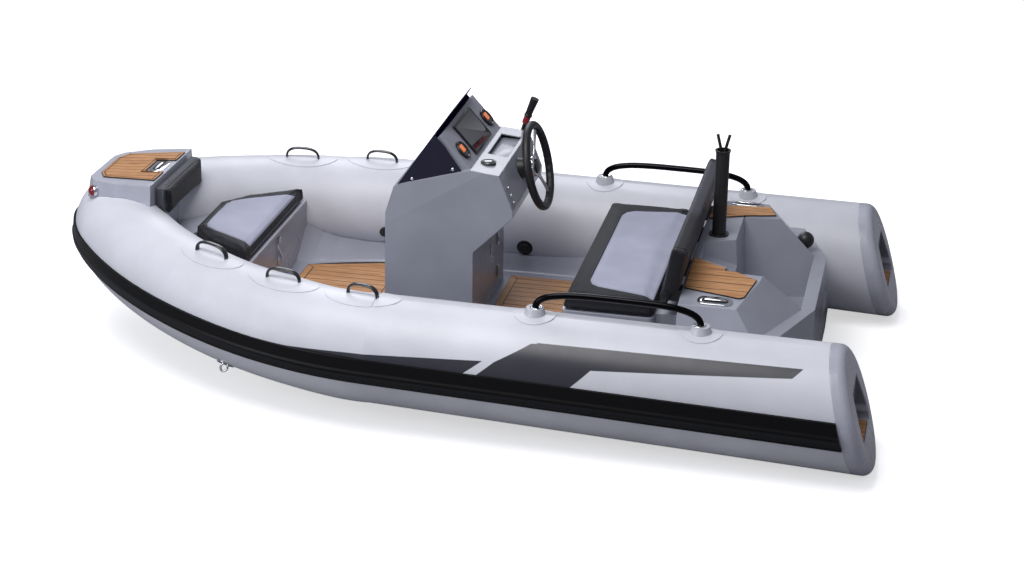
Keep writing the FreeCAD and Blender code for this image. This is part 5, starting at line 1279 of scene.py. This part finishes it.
class BOAT_OT_fittings(bpy.types.Operator):
    """Cleats, straps, rails with their collars, and valve caps"""
    bl_idname = "boat.fittings"
    bl_label = "Fittings"

    def execute(self, context):
        steel = metal("cleat_steel", (0.72, 0.73, 0.76), 0.08)
        # Black for the cleats' wells: painted shade
        dark = plastic("cleat_well_shade", (0.015, 0.015, 0.017), 0.4)
        self.cleats(steel, dark)
        rubber = plastic("strap_rubber", (0.014, 0.014, 0.016), 0.22, 260.0, 0.0003, 0.002, 0.3)
        self.arches("handle_straps", "grab_handles", HANDLE_WIDE, HANDLE_THICK, HANDLE_FULLNESS, rubber,
                    "grip_rubber")
        enamel = metal("rail_enamel", (0.010, 0.010, 0.011), 0.12, 0.05)
        self.arches("rail_bars", "grab_rails", RAIL_WIDE, RAIL_WIDE, RAIL_FULLNESS, enamel, "black_rail")
        self.collars(steel)
        self.valves()
        return {"FINISHED"}

    def cleats(self, steel, dark):
        """Oval plates with a dished well, shown as a flat black insert of painted shade, and a bar that lies
        flush in it.
        """
        x, y = AFT_CLEAT_AT
        height = AFT_DECK_TOP - (y - AFT_DECK_FOLD_Y) * AFT_DECK_FALL
        aft = [Matrix.Translation((x, side * y, height))
               @ Matrix.Rotation(-side * math.atan(AFT_DECK_FALL), 4, "X") for side in (-1, 1)]
        low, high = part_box("bow_cleat")
        bow = (Matrix.Translation(((low[0] + high[0]) / 2, 0, high[2] - 0.011))
               @ Matrix.Rotation(math.pi / 2, 4, "Z"))
        for label, node, places in (("aft", "aft_cleats", aft), ("bow", "bow_cleat", [bow])):
            plates = bmesh.new()
            wells = bmesh.new()
            for place in places:
                rounded_slab(stadium(0.066, 0.029), 0.0008, 0.0050, 0.0026, plates, place)
                # Black insert in the well: painted shade standing in for the dish
                rounded_slab(stadium(0.050, 0.0165), 0.0044, 0.0054, 0.0003, wells, place)
                self.bar(plates, place)
            piece = from_bmesh(label + "_cleat_plates", plates, steel)
            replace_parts(piece, node)
            from_bmesh(label + "_cleat_wells", wells, dark)

    def bar(self, made, place):
        """Cleat bar: slim in the middle, swelling to rounded horns."""
        half = [(0.044, 0.0062, 0.0022), (0.036, 0.0078, 0.0062), (0.020, 0.0088, 0.0078)]
        stations = [(-x, z, wide) for x, z, wide in half] + [(0.0, 0.0090, 0.0070)] + half[::-1]
        thick = 0.0035
        skinned(made, [[made.verts.new(place @ Vector((x, wide * c, z + thick * s))) for c, s in circle(12)]
                       for x, z, wide in stations])
        for x in (-0.016, 0.016):
            turned([(0.0042, 0.0040), (0.0042, 0.0085)], 16, place @ Matrix.Translation((x, 0, 0)), made)

    def arches(self, name, node, wide, thick, fullness, material, slot):
        """Smoothly arched bars or straps in place of a CAD node's sharply bent ones, foot to foot."""
        made = bmesh.new()
        for corners in loose_parts(node):
            middle = sum(corners, Vector()) / len(corners)
            far = max(corners, key=lambda co: (co - middle).length)
            along = (far - middle) * Vector((1, 1, 0))
            along.normalize()
            ends = [(co - middle).dot(along) for co in corners]
            middle += along * (max(ends) + min(ends)) / 2
            reach = (max(ends) - min(ends)) / 2 - HANDLE_FOOT
            feet = [min((co.z for co in corners if (co - middle).dot(along) * side > reach - HANDLE_FOOT))
                    for side in (-1, 1)]
            top = max(co.z for co in corners) - thick / 2
            route = []
            for i in range(HANDLE_STEPS + 1):
                t = math.sin(math.pi * (i / HANDLE_STEPS - 0.5))
                rise = (1 - abs(t) ** fullness) ** (1 / fullness)
                foot = feet[0] + (feet[1] - feet[0]) * (t + 1) / 2
                at = middle + along * reach * t
                route.append(Vector((at.x, at.y, foot + (top - sum(feet) / 2) * rise)))
            bar(made, route, wide / 2, thick / wide, Vector((-along.y, along.x, 0)))
        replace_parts(from_bmesh(name, made, material), node)

    def collars(self, steel):
        """Polished rings where the rails enter their cups."""
        made = bmesh.new()
        for x, lean in zip(RAIL_CUP_X[::-1], (-1, 1)):
            for side in (-1, 1):
                axis, radius, _ = tube_axis(x)
                place = Matrix.Translation((x + lean * 0.006, side * RAIL_CUP_Y,
                                            axis.z + radius + RAIL_CUP_HEIGHT))
                turned([(0.0235, -0.0010), (0.0240, 0.0012), (0.0215, 0.0030), (0.0170, 0.0034),
                        (0.0150, 0.0010)], 40, place, made)
        from_bmesh("rail_collars", made, steel)

    def valves(self):
        """Fluted caps over the inflation valves."""
        made = bmesh.new()
        for x in VALVE_X:
            for side in (-1, 1):
                place = valve_place(x, VALVE_TURN, side)
                rings = []
                for radius, height in ((0.0245, 0.0090), (0.0242, 0.0110), (0.0215, 0.0125), (0.0100, 0.0118),
                                       (0.0010, 0.0112)):
                    ring = []
                    for k, (c, s) in enumerate(circle(72)):
                        flute = 0.5 - 0.5 * math.cos(2 * math.pi * k / 6)
                        lobe = radius * (1 - 0.05 * flute * min(1.0, radius / 0.02))
                        ring.append(made.verts.new(place @ Vector((lobe * c, lobe * s, height))))
                    rings.append(ring)
                skinned(made, rings)
        from_bmesh("valve_caps", made, plastic("valve_plastic", (0.014, 0.014, 0.015), 0.35))


def camera_sees(tree, seen, otherwise, output):
    """Shows one shader to the camera and another to all other rays."""
    path = tree.nodes.new("ShaderNodeLightPath")
    either = tree.nodes.new("ShaderNodeMixShader")
    for socket, source in zip(either.inputs, (path.outputs["Is Camera Ray"], otherwise, seen)):
        tree.links.new(source, socket)
    tree.links.new(either.outputs[0], output.inputs["Surface"])


class BOAT_OT_stage(bpy.types.Operator):
    """Floor, lights and the photograph's camera"""
    bl_idname = "boat.stage"
    bl_label = "Stage and camera"

    def execute(self, context):
        scene = context.scene
        scene.view_settings.view_transform = "Standard"
        self.floor()
        self.lights(scene)
        self.camera(scene)
        return {"FINISHED"}

    def floor(self):
        mesh = bpy.data.meshes.new("water_floor")
        corners = [(x * FLOOR_REACH, y * FLOOR_REACH, 0) for x, y in ((-1, -1), (1, -1), (1, 1), (-1, 1))]
        mesh.from_pydata(corners, [], [(0, 1, 2, 3)])
        floor = bpy.data.objects.new("water_floor", mesh)
        bpy.context.scene.collection.objects.link(floor)
        f = Finish("pale_floor", Roughness=0.9, Specular_IOR_Level=0.1)
        f.set(Base_Color=f.shade((0.30, 0.30, 0.31), f.noise(0.8) * 0.1 + 0.45))
        self.seen_white(f)
        mesh.materials.append(f.material)

    def seen_white(self, f):
        """To the camera the floor is white where it is lit, and darker only in the boat's shadow."""
        output = next(node for node in f.tree.nodes if node.type == "OUTPUT_MATERIAL")
        pale = f.node("ShaderNodeBsdfDiffuse", None, (0.97, 0.97, 0.97, 1.0))[0]
        glow = f.node("ShaderNodeEmission", None, (1.0, 1.0, 1.0, 1.0), FLOOR_GLOW)[0]
        lit = f.node("ShaderNodeAddShader", None, pale, glow)[0]
        camera_sees(f.tree, lit.socket, f.shader.outputs[0], output)

    def lights(self, scene):
        world = bpy.data.worlds.new("studio")
        scene.world = world
        world.use_nodes = True
        tree = world.node_tree
        tree.nodes.clear()
        skies = []
        for tint, strength in ((SKY_TINT, SKY_STRENGTH), ((1.0, 1.0, 1.0, 1.0), 1.0)):
            sky = tree.nodes.new("ShaderNodeBackground")
            sky.inputs["Color"].default_value = tint
            sky.inputs["Strength"].default_value = strength
            skies.append(sky.outputs[0])
        camera_sees(tree, skies[1], skies[0], tree.nodes.new("ShaderNodeOutputWorld"))
        for name, at, side, power, tint in LAMPS:
            data = bpy.data.lights.new(name, "AREA")
            data.shape = "SQUARE"
            data.size = side
            data.energy = power
            data.color = tint
            lamp = bpy.data.objects.new(name, data)
            lamp.location = at
            aim = LAMPS_AIM - Vector(at)
            lamp.rotation_euler = aim.to_track_quat("-Z", "Y").to_euler()
            scene.collection.objects.link(lamp)

    def camera(self, scene):
        data = bpy.data.cameras.new("photograph")
        data.lens = CAMERA_LENS
        data.sensor_width = 36.0
        data.clip_start = 0.1
        data.clip_end = 200.0
        camera = bpy.data.objects.new("photograph", data)
        level = math.cos(CAMERA_FALL)
        ahead = Vector((math.sin(CAMERA_TURN) * level, -math.cos(CAMERA_TURN) * level,
                        -math.sin(CAMERA_FALL)))
        right = ahead.cross(Vector((0, 0, 1))).normalized()
        up = right.cross(ahead)
        across = right * math.cos(CAMERA_ROLL) + up * math.sin(CAMERA_ROLL)
        upward = up * math.cos(CAMERA_ROLL) - right * math.sin(CAMERA_ROLL)
        place = Matrix((across, upward, -ahead)).transposed().to_4x4()
        place.translation = CAMERA_AT
        camera.matrix_world = place
        scene.collection.objects.link(camera)
        scene.camera = camera


class BOAT_PT_panel(bpy.types.Panel):
    """Lists the boat's dressing steps"""
    bl_idname = "BOAT_PT_panel"
    bl_label = "Boat"
    bl_space_type = "VIEW_3D"
    bl_region_type = "UI"
    bl_category = "Boat"

    def draw(self, context):
        for step in STEPS:
            self.layout.operator(step.bl_idname)
        for group in (context.scene.boat_sizes, context.scene.boat_colours):
            for key in group.bl_rna.properties.keys():
                if key not in ("rna_type", "name"):
                    self.layout.prop(group, key)


STEPS = (BOAT_OT_finishes, BOAT_OT_decking, BOAT_OT_upholstery, BOAT_OT_wheel, BOAT_OT_dash, BOAT_OT_fittings,
         BOAT_OT_stage)
CLASSES = (BoatColours, BoatSizes) + STEPS + (BOAT_PT_panel,)


def register():
    for each in CLASSES:
        bpy.utils.register_class(each)
    bpy.types.Scene.boat_sizes = PointerProperty(type=BoatSizes)
    bpy.types.Scene.boat_colours = PointerProperty(type=BoatColours)


def unregister():
    del bpy.types.Scene.boat_colours
    del bpy.types.Scene.boat_sizes
    for each in reversed(CLASSES):
        bpy.utils.unregister_class(each)


def main():
    register()
    bpy.ops.boat.finishes()
    bpy.ops.boat.decking()
    bpy.ops.boat.upholstery()
    bpy.ops.boat.wheel()
    bpy.ops.boat.dash()
    bpy.ops.boat.fittings()
    bpy.ops.boat.stage()


if __name__ == "__main__":
    main()
